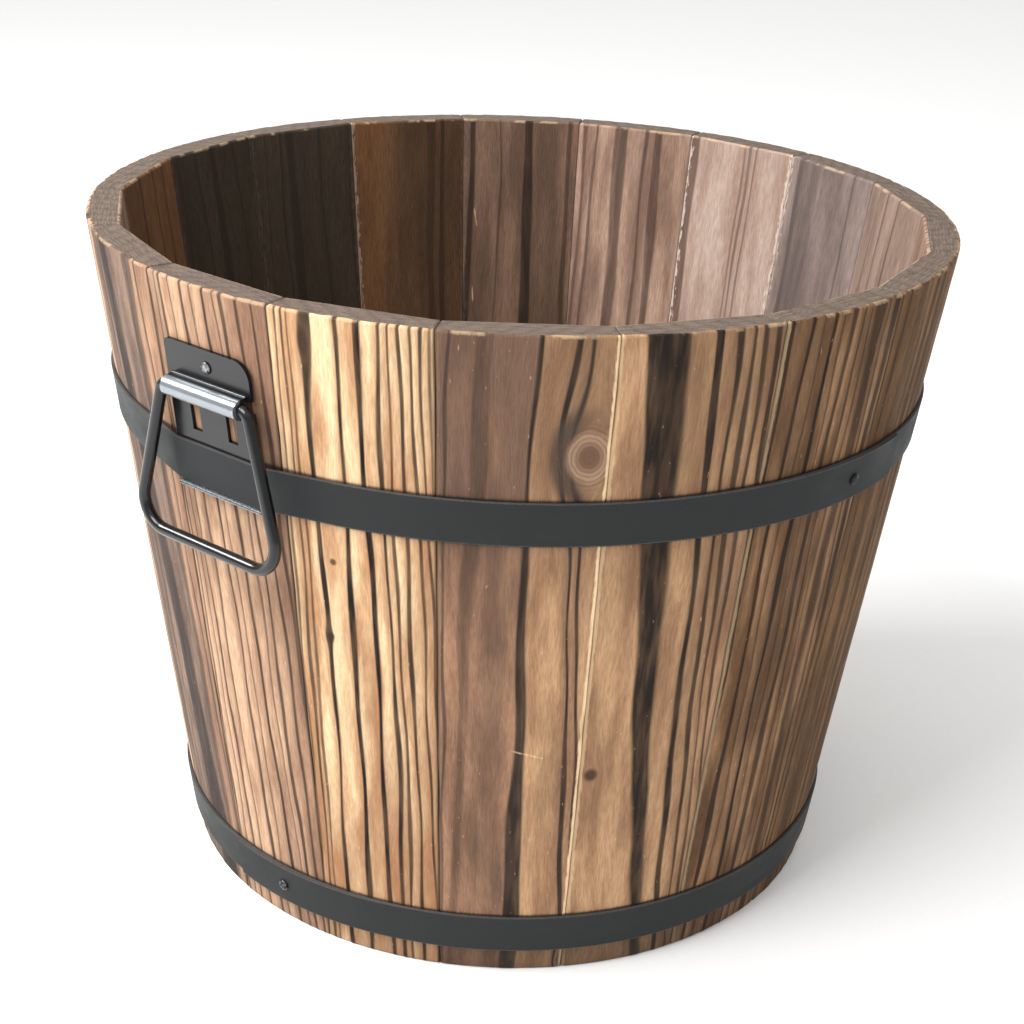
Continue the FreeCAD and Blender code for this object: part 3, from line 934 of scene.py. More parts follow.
def softened(node: str, bevel: float) -> bpy.types.Mesh:
    """Copy the mesh of a CAD node without its materials, and round its edges.

    Args:
        node: Name of the node.
        bevel: Width of the rounding, in millimetres.

    Returns:
        The new mesh.
    """
    work = bmesh.new()
    work.from_mesh(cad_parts[node].data)
    bmesh.ops.remove_doubles(work, verts=work.verts, dist=WELD)
    bmesh.ops.dissolve_limit(work, angle_limit=math.radians(FLAT_ANGLE), verts=work.verts, edges=work.edges)
    least = math.radians(BEVEL_ANGLE)
    sharp = [edge for edge in work.edges if edge.is_manifold and edge.calc_face_angle() > least]
    bmesh.ops.bevel(
        work,
        geom=sharp,
        offset=bevel * MM,
        offset_type="OFFSET",
        segments=2,
        profile=0.5,
        affect="EDGES",
        clamp_overlap=True,
    )
    bmesh.ops.recalc_face_normals(work, faces=work.faces)
    mesh = bpy.data.meshes.new(f"{node}_softened")
    work.to_mesh(mesh)
    work.free()
    mesh.materials.clear()
    smooth(mesh, CREASE_ANGLE)
    return mesh


def barrel_piece(
    node: str, word: str, bevel: float, material: bpy.types.Material
) -> bpy.types.Object:
    """Make a piece of the barrel from the softened mesh of its CAD node.

    Args:
        node: Name of the node.
        word: What is added to it for the piece's name.
        bevel: Width of the rounding, in millimetres.
        material: The piece's material.

    Returns:
        The piece.
    """
    mesh = softened(node, bevel)
    mesh.materials.append(material)
    return new_piece(f"{node}_{word}", "barrel", mesh, [node])


@dataclass(frozen=True)
class StaveLook:
    """What one stave looks like on its outside and its inside."""

    outside: CharredFir
    inside: CharredFir


@dataclass
class Barrel:
    """The staves: round outside, flat inside, with brushed grain, worn edges and a rough sawn rim.

    Lengths are in millimetres and angles in degrees. Wear adds up to that much to the radius of an outer
    arris, or to the share by which the rounding of the rim is drawn in. The knots say how often it changes.
    """

    looks: dict[int, StaveLook]
    rim_radius: float = RIM_RADIUS
    foot_radius: float = 119.5
    thickness: float = 12.0
    groove: tuple[float, float] = (15.0, 25.3)
    groove_radius: float = 112.93
    groove_lip: float = 0.3
    seat: tuple[float, float] = (168.0, 217.4)
    seat_depth: float = 0.4
    handle_staves: tuple[int, ...] = (1, 10)
    clearance: float = 0.01
    round_over: float = 0.9
    rounding: tuple[float, ...] = (90.0, 60.0, 30.0, 0.0)
    columns: int = 56
    step: float = 4.0
    foot_rows: int = 5
    layers: int = 5
    crease: float = 50.0
    arris: float = 0.35
    arris_wear: float = 1.0
    arris_knots: int = 26
    rim_share: float = 0.5
    rim_wear: float = 1.1
    rim_knots: int = 23
    brushing: float = 0.16
    denting: float = 0.12
    dent_knots: int = 9
    inner_arris: float = 0.25
    foot_rough: float = 0.1
    rim_rough: float = 0.12
    _arc: np.ndarray = field(default_factory=lambda: np.radians([30.0, 60.0, 90.0]))

    def build(self) -> list[bpy.types.Object]:
        """Make and dress every stave."""
        return [self._stave(number) for number in sorted(self.looks)]

    def _stave(self, number: int) -> bpy.types.Object:
        """Make one stave, turned to its place.

        Args:
            number: The stave's number.

        Returns:
            The stave.
        """
        look = self.looks[number]
        turn = (number - 1) * STAVE_PITCH
        points, faces, slots = self._shape(number, look)
        mesh = bpy.data.meshes.new(f"stave_{number:02d}_charred")
        mesh.from_pydata(points.tolist(), [], faces)
        mesh.polygons.foreach_set("material_index", slots)
        face_outward(mesh)
        mesh.transform(Matrix.Rotation(math.radians(turn), 4, "Z") @ Matrix.Scale(MM, 4))
        smooth(mesh, self.crease)
        for finish in (look.outside, look.inside):
            mesh.materials.append(finish.dress(f"stave_{number:02d}_{finish.face.name.lower()}", turn))
        mesh.materials.append(SawnEnd().dress(f"stave_{number:02d}_end", turn, number * 2.7))
        return new_piece(mesh.name, "barrel", mesh, [f"stave_{number:02d}"])

    def _levels(self) -> list[tuple[float, float, bool]]:
        """Work out where the stave's sections lie.

        Returns:
            Each section's height, how far it is drawn in, and whether it lies in the groove.
        """
        over, lip = self.round_over, self.groove_lip
        turns = np.radians(self.rounding)
        foot = [(over * (1 - math.sin(t)), over * (1 - math.cos(t)), False) for t in turns]
        low, high = self.groove
        wall = [(z, 0.0, False) for z in np.linspace(over, low - lip, self.foot_rows)[1:]]
        wall += [(low, 0.0, True), (high, 0.0, True), (high + lip, 0.0, False)]
        top = BARREL_HEIGHT - over
        count = int((top - high) / self.step)
        wall += [(z, 0.0, False) for z in np.linspace(high + lip, top, count)[1:]]
        rim = [(BARREL_HEIGHT - self.clearance - z, inset, False) for z, inset, _ in reversed(foot)]
        return foot + wall + rim[1:]

    def _shape(self, number: int, look: StaveLook) -> tuple[np.ndarray, list[tuple[int, ...]], list[int]]:
        """Work out a stave's points in millimetres, its faces, and each face's material slot.

        Args:
            number: The stave's number, which also seeds its wear.
            look: Its look, whose grain gives the brushed relief.

        Returns:
            Points, faces and slots.
        """
        draw = np.random.default_rng(number)
        levels = self._levels()
        wide = self.columns + 1 + 2 * len(self._arc)
        worn = [wavy(draw, len(levels), self.arris_knots) ** 2 for _ in ("left", "right")]
        dents = np.array([wavy(draw, wide, self.dent_knots) for _ in levels])
        ragged = self.rim_share + self.rim_wear * wavy(draw, wide, self.rim_knots)
        loops = []
        for index, (height, inset, grooved) in enumerate(levels):
            drawn = inset * ragged if height > self.round_over else np.full(wide, inset)
            left_radius, right_radius = (self.arris + self.arris_wear * side[index] for side in worn)
            radii = (left_radius, right_radius)
            outer = self._outer_row(number, look, height, drawn, radii, dents[index])
            inner = self._inner_row(height, drawn, grooved)
            share = np.linspace(0, 1, self.layers + 1)[1:-1, None]
            right = outer[-1] + (inner[-1] - outer[-1]) * share
            left = inner[0] + (outer[0] - inner[0]) * share
            loop = np.concatenate([outer, right, inner[::-1], left])
            loops.append(np.column_stack([loop, np.full(len(loop), height)]))
        return self._skin(loops, wide, draw)

    def _wall(self, height: float) -> float:
        """Radius of the outside at a height."""
        return self.foot_radius + (self.rim_radius - self.foot_radius) * height / BARREL_HEIGHT

    def _spread(self, half: float, left: float, right: float) -> np.ndarray:
        """Work out the places of a section's points, with those of its two arrises closer together.

        Args:
            half: Half of the section's width, as a length or as an angle.
            left: Width of the left arris.
            right: Width of the right arris.

        Returns:
            The places, from the left.
        """
        flat = np.linspace(left - half, half - right, self.columns + 1)
        turn_left = -half + left * (1 - np.sin(self._arc[::-1]))
        turn_right = half - right * (1 - np.sin(self._arc))
        return np.concatenate([turn_left, flat, turn_right])

    def _sunk(self, left: float, right: float) -> np.ndarray:
        """How far arrises of two radii turn back at each point of a section."""
        turn = 1 - np.cos(self._arc)
        return np.concatenate([left * turn[::-1], np.zeros(self.columns + 1), right * turn])

    def _outer_row(
        self,
        number: int,
        look: StaveLook,
        height: float,
        drawn: np.ndarray,
        radii: tuple[float, float],
        dents: np.ndarray,
    ) -> np.ndarray:
        """Points of one section along the round outside, with both arrises.

        Args:
            number: The stave's number.
            look: Its look.
            height: Height of the section.
            drawn: How far the section is drawn in at each column.
            radii: Radius of the left and right arris.
            dents: Shallow unevenness, 0 to 1.

        Returns:
            Place out and place across, a row a point.
        """
        wall = self._wall(height)
        angles = self._spread(HALF_PITCH - drawn[0] / wall, radii[0] / wall, radii[1] / wall)
        heights = np.full(len(angles), height)
        grain = look.outside.grain
        bent = grain.bent(wall * np.sin(angles), heights)
        char = grain.char(grain.offsets(bent, heights), heights, grain.swell(bent, heights))
        reach = wall - drawn - self._sunk(*radii) - self.brushing * (1 - char) - self.denting * dents
        out = reach * np.cos(angles)
        if number in self.handle_staves and self.seat[0] < height < self.seat[1]:
            out = np.minimum(out, wall - self.seat_depth)
        return np.column_stack([out, reach * np.sin(angles)])

    def _inner_row(self, height: float, drawn: np.ndarray, grooved: bool) -> np.ndarray:
        """Points of one section along the flat inside, or along the round groove in it.

        Args:
            height: Height of the section.
            drawn: How far the section is drawn in at each column.
            grooved: Whether the section lies in the groove.

        Returns:
            Place out and place across, a row a point, from the left.
        """
        flat_out = self._wall(height) - self.thickness + float(drawn.mean())
        half = flat_out * math.tan(HALF_PITCH) - drawn[0]
        across = self._spread(half, self.inner_arris, self.inner_arris)
        out = flat_out + self._sunk(self.inner_arris, self.inner_arris)
        if grooved:
            out = np.sqrt(self.groove_radius**2 - across**2)
        return np.column_stack([out, across])

    def _skin(
        self, loops: list[np.ndarray], wide: int, draw: np.random.Generator
    ) -> tuple[np.ndarray, list[tuple[int, ...]], list[int]]:
        """Join the sections with faces and close both ends with a rough sawn grid.

        Args:
            loops: The sections, each a closed row of points.
            wide: Points along the outside of a section.
            draw: Random numbers for the rough ends.

        Returns:
            Points, faces and slots.
        """
        size = len(loops[0])
        faces = tube(len(loops), size)
        rim = len(loops) - len(self.rounding)
        slots = [self._slot(face // size >= rim, face % size, wide) for face in range(len(faces))]
        points = [*loops]
        total = size * len(loops)
        for level, rough in ((0, self.foot_rough), (len(loops) - 1, -self.rim_rough)):
            grid = self._end_grid(level * size, wide, total)
            section = loops[level]
            outer, inner = section[:wide], section[wide + self.layers - 1 : 2 * wide + self.layers - 1][::-1]
            for layer in range(1, self.layers):
                row = outer + (inner - outer) * layer / self.layers
                row[:, 2] += rough * draw.random(wide)
                points.append(row[1:-1])
                total += wide - 2
            for upper, lower in zip(grid, grid[1:]):
                for column in range(wide - 1):
                    faces.append((upper[column], upper[column + 1], lower[column + 1], lower[column]))
                    slots.append(Face.END.value)
        return np.concatenate(points), faces, slots

    def _slot(self, at_rim: bool, column: int, wide: int) -> int:
        """Material slot of a face: at the rim the joints between staves count as sawn end.

        Args:
            at_rim: Whether the face is part of the rim's rounding.
            column: The face's place round the section, from the outside's left edge.
            wide: Points along the outside.

        Returns:
            The slot.
        """
        if wide + self.layers - 1 <= column < 2 * wide + self.layers - 2:
            return Face.INSIDE.value
        if column < wide - 1 or not at_rim:
            return Face.OUTSIDE.value
        return Face.END.value

    def _end_grid(self, start: int, wide: int, fresh: int) -> list[list[int]]:
        """Point numbers of an end, row by row from the outside to the inside.

        Args:
            start: First point of the end's section.
            wide: Points along the outside.
            fresh: First of the new points inside the end.

        Returns:
            Rows of point numbers.
        """
        side = self.layers - 1
        rows = [[start + column for column in range(wide)]]
        for layer in range(1, self.layers):
            first = fresh + (layer - 1) * (wide - 2)
            left = start + 2 * wide + side + (self.layers - 1 - layer)
            right = start + wide + layer - 1
            rows.append([left, *range(first, first + wide - 2), right])
        rows.append([start + wide + side + (wide - 1 - column) for column in range(wide)])
        return rows


@dataclass
class Bottom:
    """The boards of the bottom with their drain holes."""

    boards: int = 4
    edge: float = 0.6
    finish: SawnBoard = SawnBoard()

    def build(self) -> list[bpy.types.Object]:
        """Make and dress the boards.

        Returns:
            The boards.
        """
        pieces = []
        for number in range(1, self.boards + 1):
            node = f"bottom_board_{number}"
            low, high = (corner.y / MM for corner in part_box(node))
            material = self.finish.dress(f"{node}_sawn", number, low, high)
            pieces.append(barrel_piece(node, "sawn", self.edge, material))
        return pieces


@dataclass
class Hoops:
    """The two lapped strap hoops and the nails in their laps."""

    edge: float = 0.22
    lifts: dict[str, float] = field(default_factory=lambda: HOOP_LIFTS)
    width: float = HOOP_WIDTH
    colour: Colour = shade(20, 23, 24)
    rubbed: Colour = shade(31, 34, 36)
    nails: dict[str, NailSteel] = field(
        default_factory=lambda: {"upper_hoop": NailSteel(shade(46, 47, 48)), "lower_hoop": NailSteel()}
    )

    def build(self) -> list[bpy.types.Object]:
        """Make and dress the hoops and their nails.

        Returns:
            The hoops and nails.
        """
        pieces = []
        for node, lift in self.lifts.items():
            edges = (lift, lift + self.width)
            paint = BlackPaint(self.colour, self.rubbed, roughness=0.52, grain=0.06, shine=0.3, edges=edges)
            material = paint.dress(f"{node}_paint")
            pieces.append(barrel_piece(node, "strap", self.edge, material))
            pieces.append(nail(f"{node}_nail", self.nails[node]))
        return pieces


def nail(node: str, finish: NailSteel) -> bpy.types.Object:
    """Make and dress the nail of a CAD node, in its steel."""
    return barrel_piece(node, "hammered", NAIL_BEVEL, finish.dress(f"{node}_steel"))


@dataclass
class Handle:
    """One handle: a plate with a hood, its nail, and a wire bail that swings in the hood."""

    side: str
    turn: float
    pivot_out: float = 148.798
    pivot_height: float = 202.592
    half_bar: float = 16.7
    drop: float = 50.0
    flare: float = 15.6
    top_radius: float = 3.0
    corner_radius: float = 9.5
    wire: float = 2.0
    segments: int = 20
    bar_points: int = 6
    top_points: int = 7
    leg_points: int = 9
    corner_points: int = 13
    foot_points: int = 7
    plate_edge: float = 0.25
    plate_paint: BlackPaint = BlackPaint(
        shade(12, 13, 15),
        shade(20, 21, 24),
        roughness=0.18,
        grain=0.003,
        shine=0.35,
        # Painted highlight: the light edge colour, along the lip under the strap and over the hood, stands in
        # for the gloss on them.
        edges=(167.9, 168.8),
        bare=shade(158, 164, 170),
        painted_highlight_from=149.0,
    )
    wire_paint: BlackPaint = BlackPaint(
        shade(10, 11, 13), shade(18, 20, 22), roughness=0.16, grain=0.003, shine=0.45
    )
    nail_steel: NailSteel = NailSteel(shade(150, 150, 152))

    def build(self) -> list[bpy.types.Object]:
        """Make and dress the plate, the nail and the bail.

        Returns:
            The three pieces.
        """
        node = f"{self.side}_handle_plate"
        material = self.plate_paint.dress(f"{node}_paint", self.turn)
        plate = barrel_piece(node, "stamped", self.plate_edge, material)
        return [plate, nail(f"{self.side}_handle_nail", self.nail_steel), self._bail()]

    def _bail(self) -> bpy.types.Object:
        """Sweep the wire along its closed path.

        Returns:
            The bail.
        """
        path = self._path()
        ahead = np.roll(path, -1, axis=0) - np.roll(path, 1, axis=0)
        ahead /= np.linalg.norm(ahead, axis=1)[:, None]
        angles = np.linspace(0, 2 * math.pi, self.segments, endpoint=False)
        points = []
        for (across, height), (step_across, step_up) in zip(path, ahead):
            for angle in angles:
                out = self.wire * math.cos(angle)
                aside = self.wire * math.sin(angle)
                points.append((out, across - aside * step_up, height + aside * step_across))
        mesh = bpy.data.meshes.new(f"{self.side}_bail_wire")
        mesh.from_pydata(points, [], tube(len(path), self.segments, closed=True))
        pivot = Matrix.Translation((self.pivot_out * MM, 0, self.pivot_height * MM))
        mesh.transform(Matrix.Rotation(math.radians(self.turn), 4, "Z") @ pivot @ Matrix.Scale(MM, 4))
        face_outward(mesh)
        mesh.shade_smooth()
        mesh.materials.append(self.wire_paint.dress(f"{self.side}_bail_paint"))
        body = f"{self.side}_bail"
        return new_piece(mesh.name, body, mesh, [body])

    def _path(self) -> np.ndarray:
        """Work out the middle line of the wire.

        Returns:
            Its points, across and up from the pivot, in millimetres.
        """
        lean = math.radians(self.flare)
        top, corner = self.top_radius, self.corner_radius
        leg = (self.drop - top - corner + (top - corner) * math.sin(lean)) / math.cos(lean)
        spread = self.half_bar + (top - corner) * math.cos(lean) + leg * math.sin(lean)
        half = [(share * self.half_bar, 0.0) for share in np.linspace(0, 1, self.bar_points)[:-1]]
        half += arc(self.half_bar, -top, top, np.linspace(math.pi / 2, lean, self.top_points))
        bend = arc(spread, corner - self.drop, corner, np.linspace(lean, -math.pi / 2, self.corner_points))
        upper, lower = np.array(half[-1]), np.array(bend[0])
        half += [tuple(upper + (lower - upper) * share) for share in np.linspace(0, 1, self.leg_points)[1:-1]]
        half += bend
        half += [(spread * share, -self.drop) for share in np.linspace(1, 0, self.foot_points)[1:-1]]
        other = [(-across, height) for across, height in reversed(half[1:])]
        return np.array([*half, (0.0, -self.drop), *other])


@dataclass(frozen=True)
class Lamp:
    """A soft square light aimed at the planter.

    Its azimuth and elevation are in degrees, its distance and side in metres, and its power in watts.
    """

    name: str
    azimuth: float
    elevation: float
    distance: float
    side: float
    power: float


@dataclass
class Studio:
    """Pale floor, soft light and the camera at the photograph's viewing angle.

    The focal length and the width of the photograph are in its pixels.
    """

    distance: float = 0.6885
    azimuth: float = -51.0
    elevation: float = 23.61
    roll: float = 2.25
    aim_height: float = 0.1184
    focal_length: float = 1046.5
    photo_width: float = 1024.0
    zoom: float = 1.75
    sensor: float = 36.0
    floor_size: float = 24.0
    floor_colours: tuple[Colour, Colour] = (shade(244, 244, 243), shade(240, 240, 239))
    room_light: float = 0.65
    lamps: tuple[Lamp, ...] = (
        Lamp("key_light", -100.0, 46.0, 1.8, 0.9, 28.0),
        Lamp("overhead", 0.0, 89.0, 4.0, 10.0, 135.0),
        Lamp("side_window", -138.0, 38.0, 1.3, 0.4, 15.0),
    )

    def build(self) -> None:
        """Make the floor, the lights and the camera."""
        self._floor()
        self._world()
        for lamp in self.lamps:
            self._light(lamp)
        self._camera()

    def _stand(
        self,
        data: bpy.types.ID,
        azimuth: float,
        elevation: float,
        distance: float,
        roll: float = 0.0,
    ) -> bpy.types.Object:
        """Stand a light or the camera round the planter, facing it.

        Args:
            data: The light or the camera.
            azimuth: Where it stands round the planter, in degrees.
            elevation: How high it stands, in degrees.
            distance: How far off it stands.
            roll: Degrees that it is turned about its line of sight.

        Returns:
            Its object.
        """
        made = put_in_scene(data.name, data)
        turn, rise = math.radians(azimuth), math.radians(elevation)
        away = Vector((math.sin(turn) * math.cos(rise), -math.cos(turn) * math.cos(rise), math.sin(rise)))
        made.location = Vector((0, 0, self.aim_height)) + away * distance
        facing = away.to_track_quat("Z", "Y").to_matrix().to_4x4()
        made.rotation_euler = (facing @ Matrix.Rotation(math.radians(roll), 4, "Z")).to_euler()
        return made

    def _floor(self) -> None:
        """A plain pale floor."""
        half = self.floor_size / 2
        mesh = bpy.data.meshes.new("floor")
        corners = [(-half, -half, 0), (half, -half, 0), (half, half, 0), (-half, half, 0)]
        mesh.from_pydata(corners, [], [(0, 1, 2, 3)])
        graph = Graph("pale_floor")
        x, y, z = graph.place()
        speck = graph.noise(x * 0.3, y * 0.3, z, 2)
        colour = graph.mix(speck, *self.floor_colours)
        mesh.materials.append(graph.close(colour, 0.8, speck, 0.01))
        floor = put_in_scene("floor", mesh)

    def _world(self) -> None:
        """Even pale light from all round."""
        world = bpy.data.worlds.new("pale_room")
        world.use_nodes = True
        background = world.node_tree.nodes["Background"]
        background.inputs["Color"].default_value = (1.0, 1.0, 1.0, 1.0)
        background.inputs["Strength"].default_value = self.room_light
        bpy.context.scene.world = world
        bpy.context.scene.view_settings.view_transform = "Standard"

    def _light(self, lamp: Lamp) -> None:
        """Add one light.

        Args:
            lamp: What it is and where it stands.
        """
        data = bpy.data.lights.new(lamp.name, "AREA")
        data.size = lamp.side
        data.energy = lamp.power
        self._stand(data, lamp.azimuth, lamp.elevation, lamp.distance)

    def _camera(self) -> None:
        """Add the camera."""
        data = bpy.data.cameras.new("camera")
        data.sensor_width = self.sensor
        data.lens = self.sensor * self.focal_length / self.photo_width * self.zoom
        camera = self._stand(data, self.azimuth, self.elevation, self.distance, self.roll)
        bpy.context.scene.camera = camera


def shown_outsides() -> dict[int, CharredFir]:
    """Outsides of the staves that face the camera, by the main lines of their grain.

    Returns:
        The finish by the stave's number.
    """
    stave_9 = Grain(
        streaks(
            (-10.0, 9.0, 9.0, 0.92, 13.0),
            (12.0, 16.0, 5.0, 0.55, 2.0),
            (18.0, 21.0, 0.9, 0.6),
            (-18.0, -5.0, 1.6, 0.5),
            (-22.0, -12.0, 1.2, 0.5),
        ),
        phase=1.1,
    )
    stave_10 = Grain(
        streaks(
            (-31.0, -23.0, 0.8, 0.7),
            (-25.0, -18.6, 0.9, 0.75),
            (-22.0, -15.0, 0.6, 0.6),
            (-19.5, -11.5, 0.9, 0.8),
            (-14.5, -7.0, 0.8, 0.7),
            (-8.0, 0.3, 1.1, 0.85),
            (-4.0, 3.6, 0.6, 0.6),
            (1.3, 8.5, 1.2, 0.9),
            (6.2, 12.6, 0.7, 0.6),
            (9.4, 15.6, 1.2, 0.85),
            (15.4, 19.6, 1.0, 0.8),
            (20.5, 24.0, 1.1, 0.8),
        ),
        phase=0.4,
    )
    stave_11 = Grain(
        streaks(
            (-23.2, -21.5, 0.8, 0.75),
            (-20.5, -18.5, 0.9, 0.8),
            (-18.3, -16.6, 0.8, 0.7),
            (-13.4, -11.0, 1.8, 0.97, 1.4),
            (-3.3, -3.3, 1.5, 1.0),
            (3.5, 4.4, 1.7, 1.0),
            (9.3, 9.2, 1.3, 0.95),
            (12.2, 12.0, 0.9, 0.85),
            (15.7, 15.6, 1.1, 0.9),
            (19.2, 20.4, 0.9, 0.85),
            (22.2, 22.8, 0.9, 0.85),
            (24.8, 24.6, 0.7, 0.7),
        ),
        (Knot(-8.9, 155.7, 1.2), Knot(-11.4, 128.2, 1.3), Knot(-14.2, 228.0, 1.8, stretch=2.9)),
        phase=2.2,
        sway=0.3,
    )
    stave_12 = Grain(
        streaks(
            (3.6, 1.6, 1.3, 0.95, 5.4),
            (14.6, 18.8, 1.2, 0.92),
            (17.4, 22.2, 1.0, 0.88),
            (-12.0, -18.0, 6.0, 0.4, 1.5),
            (-22.5, -20.5, 0.8, 0.6),
        ),
        (Knot(19.0, 199.0, 7.6, True, 1.25), Knot(21.0, 3.5, 2.2)),
        phase=4.0,
        sway=0.6,
    )
    stave_13 = Grain(
        streaks(
            (-13.6, 5.0, 13.0, 0.97, 3.2),
            (2.9, 13.0, 2.4, 0.95, 1.8),
            (9.2, 17.4, 1.8, 0.85, 1.0),
            (13.6, 20.4, 1.6, 0.75, 0.9),
            (17.6, 23.2, 1.6, 0.75, 0.8),
            (22.6, 27.0, 2.0, 0.85),
        ),
        (Knot(-18.9, 83.0, 2.4),),
        phase=5.1,
        sway=0.7,
    )
    stave_14 = Grain(
        streaks(
            (-23.6, -21.0, 1.2, 0.8),
            (-16.6, -15.6, 1.6, 0.85),
            (-12.0, -11.4, 0.7, 0.5),
            (-7.4, -6.2, 1.6, 0.97),
            (-3.0, -2.2, 0.7, 0.5),
            (1.0, 2.0, 2.4, 0.75, 1.7),
            (5.4, 6.2, 0.8, 0.6),
            (9.2, 9.6, 0.8, 0.5),
            (14.2, 13.4, 5.0, 0.6, 3.2),
            (18.6, 18.2, 0.9, 0.6),
            (22.2, 22.0, 2.4, 0.75, 1.8),
        ),
        phase=3.3,
    )
    stave_15 = Grain(
        streaks(
            (-20.0, -19.0, 1.2, 0.6),
            (-10.6, -9.6, 5.0, 0.5, 6.0),
            (-3.6, -3.0, 1.0, 0.45),
            (2.0, 2.6, 3.4, 0.5, 4.4),
            (9.0, 9.4, 2.6, 0.5),
            (17.0, 16.4, 3.0, 0.5, 2.4),
        ),
        phase=2.8,
    )
    marks = (Scratch(5.6, 92.0, 12.0, -16.0),)
    out = Face.OUTSIDE
    return {
        # The foot shares paint shade on the strip under the lower hoop.
        9: CharredFir(out, stave_9, ASH, RUSSET, 14.0),
        10: CharredFir(out, stave_10, ROSE, RUSSET, 13.0, 8.0),
        11: CharredFir(out, stave_11, HONEY, rising=-0.35, foot_shade=0.25),
        12: CharredFir(
            out, stave_12, SMOKED, BISCUIT, 2.0, rising=0.4, raw_right=0.95, foot_shade=0.62, scratches=marks
        ),
        13: CharredFir(out, stave_13, BISCUIT, rising=0.35, raw_left=0.4, foot_shade=0.65),
        # Staves 14 and 15 take darker palettes that are partly wood colour and partly painted shade.
        14: CharredFir(out, stave_14, UMBER_AND_SHADE, rising=0.25, raw_left=0.3, foot_shade=0.4),
        15: CharredFir(out, stave_15, WALNUT_AND_SHADE),
    }


def outside_looks() -> dict[int, CharredFir]:
    """Outsides of all staves: those that the photograph doesn't show are drawn from seeds.

    Returns:
        The finish by the stave's number.
    """
    looks = shown_outsides()
    hidden = {
        1: (Sawing.QUARTER, HONEY),
        2: (Sawing.FLAT, SMOKED),
        3: (Sawing.FINE, ROSE),
        4: (Sawing.QUARTER, BISCUIT),
        5: (Sawing.FLAT, BISCUIT),
        6: (Sawing.FINE, UMBER_AND_SHADE),
        7: (Sawing.QUARTER, ROSE),
        8: (Sawing.FLAT, ROSE),
        16: (Sawing.FINE, BISCUIT),
        17: (Sawing.FLAT, UMBER_AND_SHADE),
        18: (Sawing.QUARTER, BISCUIT),
    }
    for number, (sawing, palette) in hidden.items():
        looks[number] = CharredFir(Face.OUTSIDE, seeded_grain(OUTSIDE_SEED + number, sawing), palette)
    return looks


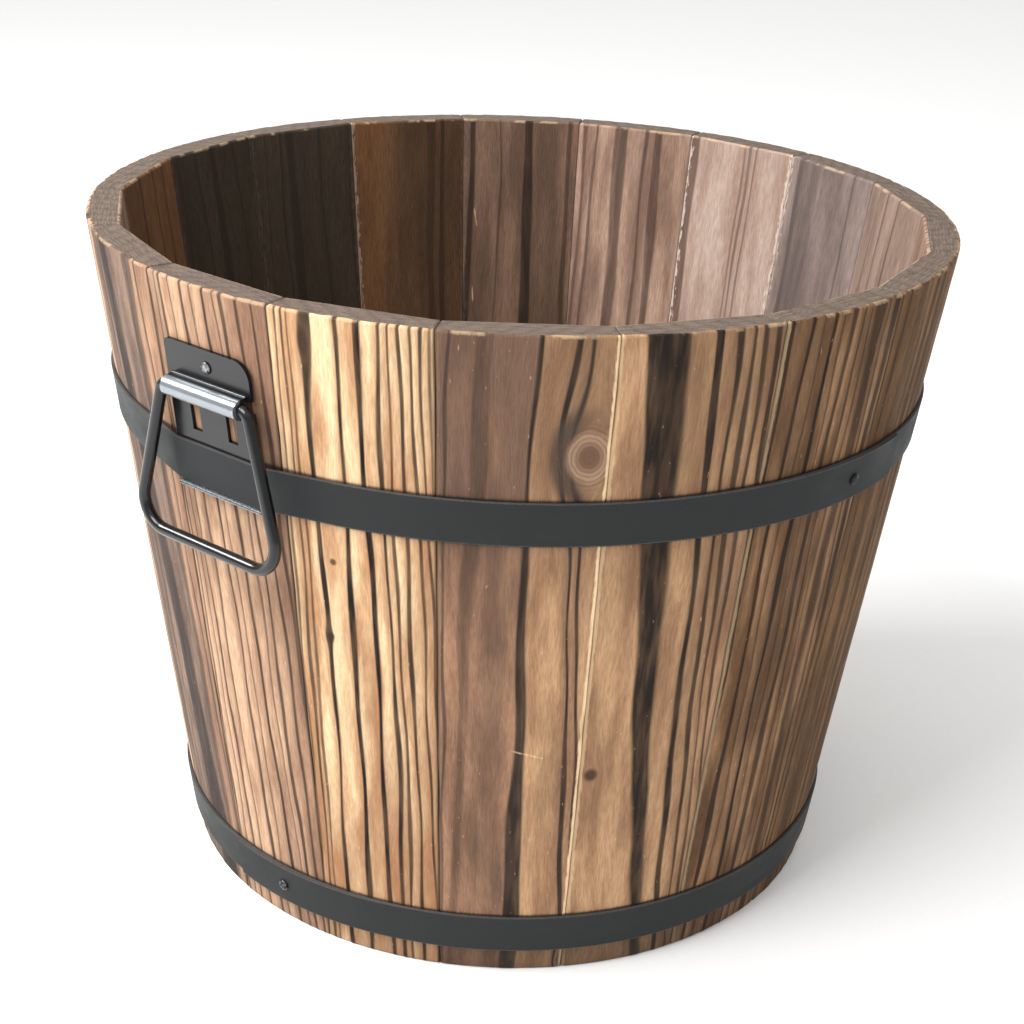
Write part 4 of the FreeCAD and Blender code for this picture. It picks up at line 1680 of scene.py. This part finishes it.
def inside_looks() -> dict[int, CharredFir]:
    """Insides of the staves, from nearly black on the left to pale on the right of the photograph.

    Returns:
        The finish by the stave's number.
    """
    black = Palette(shade(66, 56, 45), shade(60, 51, 41), shade(52, 44, 35), shade(46, 38, 31), 0.5)
    sooty = Palette(shade(86, 63, 46), shade(72, 52, 37), shade(60, 44, 32), shade(44, 33, 25), 0.5)
    ginger = Palette(shade(114, 80, 51), shade(96, 66, 42), shade(74, 51, 34), shade(58, 40, 28), 0.3)
    plum = Palette(shade(122, 95, 78), shade(95, 73, 60), shade(76, 58, 47), shade(40, 30, 23), 0.4)
    cocoa = Palette(shade(166, 137, 118), shade(126, 99, 84), shade(98, 77, 66), shade(56, 41, 34), 0.4)
    blush = Palette(shade(169, 148, 135), shade(149, 124, 110), shade(123, 101, 90), shade(84, 63, 53), 0.35)
    mauve = Palette(shade(129, 113, 106), shade(106, 92, 86), shade(85, 74, 71), shade(58, 51, 48), 0.5)
    fawn = Palette(shade(141, 119, 106), shade(118, 99, 87), shade(97, 81, 72), shade(73, 56, 48), 0.35)
    stave_7 = Grain(streaks((-14, -14, 1.4, 0.6), (-4, -4, 1.2, 0.5), (9, 9, 1.8, 0.6)), phase=0.3)
    stave_4 = Grain(streaks((-14, -14, 2.2, 0.7), (-9, -9, 3.5, 0.5)), phase=0.9)
    stave_3 = Grain(
        streaks((-3.3, -4.6, 3.8, 0.95), (-20, -20, 2, 0.6), (9, 9, 0.8, 0.5), (21, 20, 2.6, 0.85)),
        phase=1.7,
    )
    stave_2 = Grain(
        streaks(
            (-10.3, -10.0, 3.0, 0.7),
            (-4.8, -4.5, 1.6, 0.65),
            (5.8, 5.5, 4.6, 0.7),
            (17.0, 17.0, 1.2, 0.6),
            (21.6, 21.0, 1.2, 0.6),
        ),
        phase=2.6,
    )
    stave_1 = Grain(
        streaks((-7.4, -6, 0.8, 0.6), (-4.2, -3, 1.1, 0.7), (-1.8, -1, 0.7, 0.6), (22, 20, 4.5, 0.9)),
        phase=3.5,
    )
    stave_18 = Grain(streaks((-14, -14, 1.0, 0.5), (11, 10, 11, 0.4), (17, 15, 2.4, 0.6)), phase=4.4)
    stave_17 = Grain(streaks((-3, -2, 1.8, 0.65), (8, 9, 1.0, 0.6), (15, 15, 0.8, 0.5)), phase=5.3)
    scuffs = (Scratch(18.0, 196.0, 9.0, 80.0), Scratch(18.5, 164.0, 8.0, 84.0))
    within = Face.INSIDE
    looks = {
        7: CharredFir(within, stave_7, ginger),
        6: CharredFir(within, seeded_grain(INSIDE_SEED + 6, Sawing.FLAT), black),
        5: CharredFir(within, seeded_grain(INSIDE_SEED + 5, Sawing.FLAT), black),
        4: CharredFir(within, stave_4, sooty, ginger, 2.0, 18.0, raw_right=0.25),
        3: CharredFir(within, stave_3, plum, scratches=scuffs),
        2: CharredFir(within, stave_2, cocoa),
        1: CharredFir(within, stave_1, blush, raw_left=0.6, raw_right=0.6),
        18: CharredFir(within, stave_18, mauve, raw_right=0.45),
        17: CharredFir(within, stave_17, fawn),
    }
    hidden = {8: cocoa, 9: plum, 10: blush, 11: plum, 12: mauve, 13: cocoa, 14: ginger, 15: fawn, 16: cocoa}
    for number, palette in hidden.items():
        sawing = Sawing.FLAT if number % 2 else Sawing.FINE
        looks[number] = CharredFir(within, seeded_grain(INSIDE_SEED + number, sawing), palette)
    return looks


def main() -> None:
    """Build the planter's sub-assemblies in order, then the studio, and log the number of pieces."""
    logging.basicConfig(level=logging.INFO, format="%(message)s")
    insides = inside_looks()
    looks = {number: StaveLook(outside, insides[number]) for number, outside in outside_looks().items()}
    pieces = Barrel(looks).build()
    pieces += Bottom().build()
    pieces += Hoops().build()
    pieces += Handle("right", 0.0).build()
    pieces += Handle("left", 180.0).build()
    Studio().build()
    LOG.info("%d pieces", len(pieces))


if __name__ == "__main__":
    main()
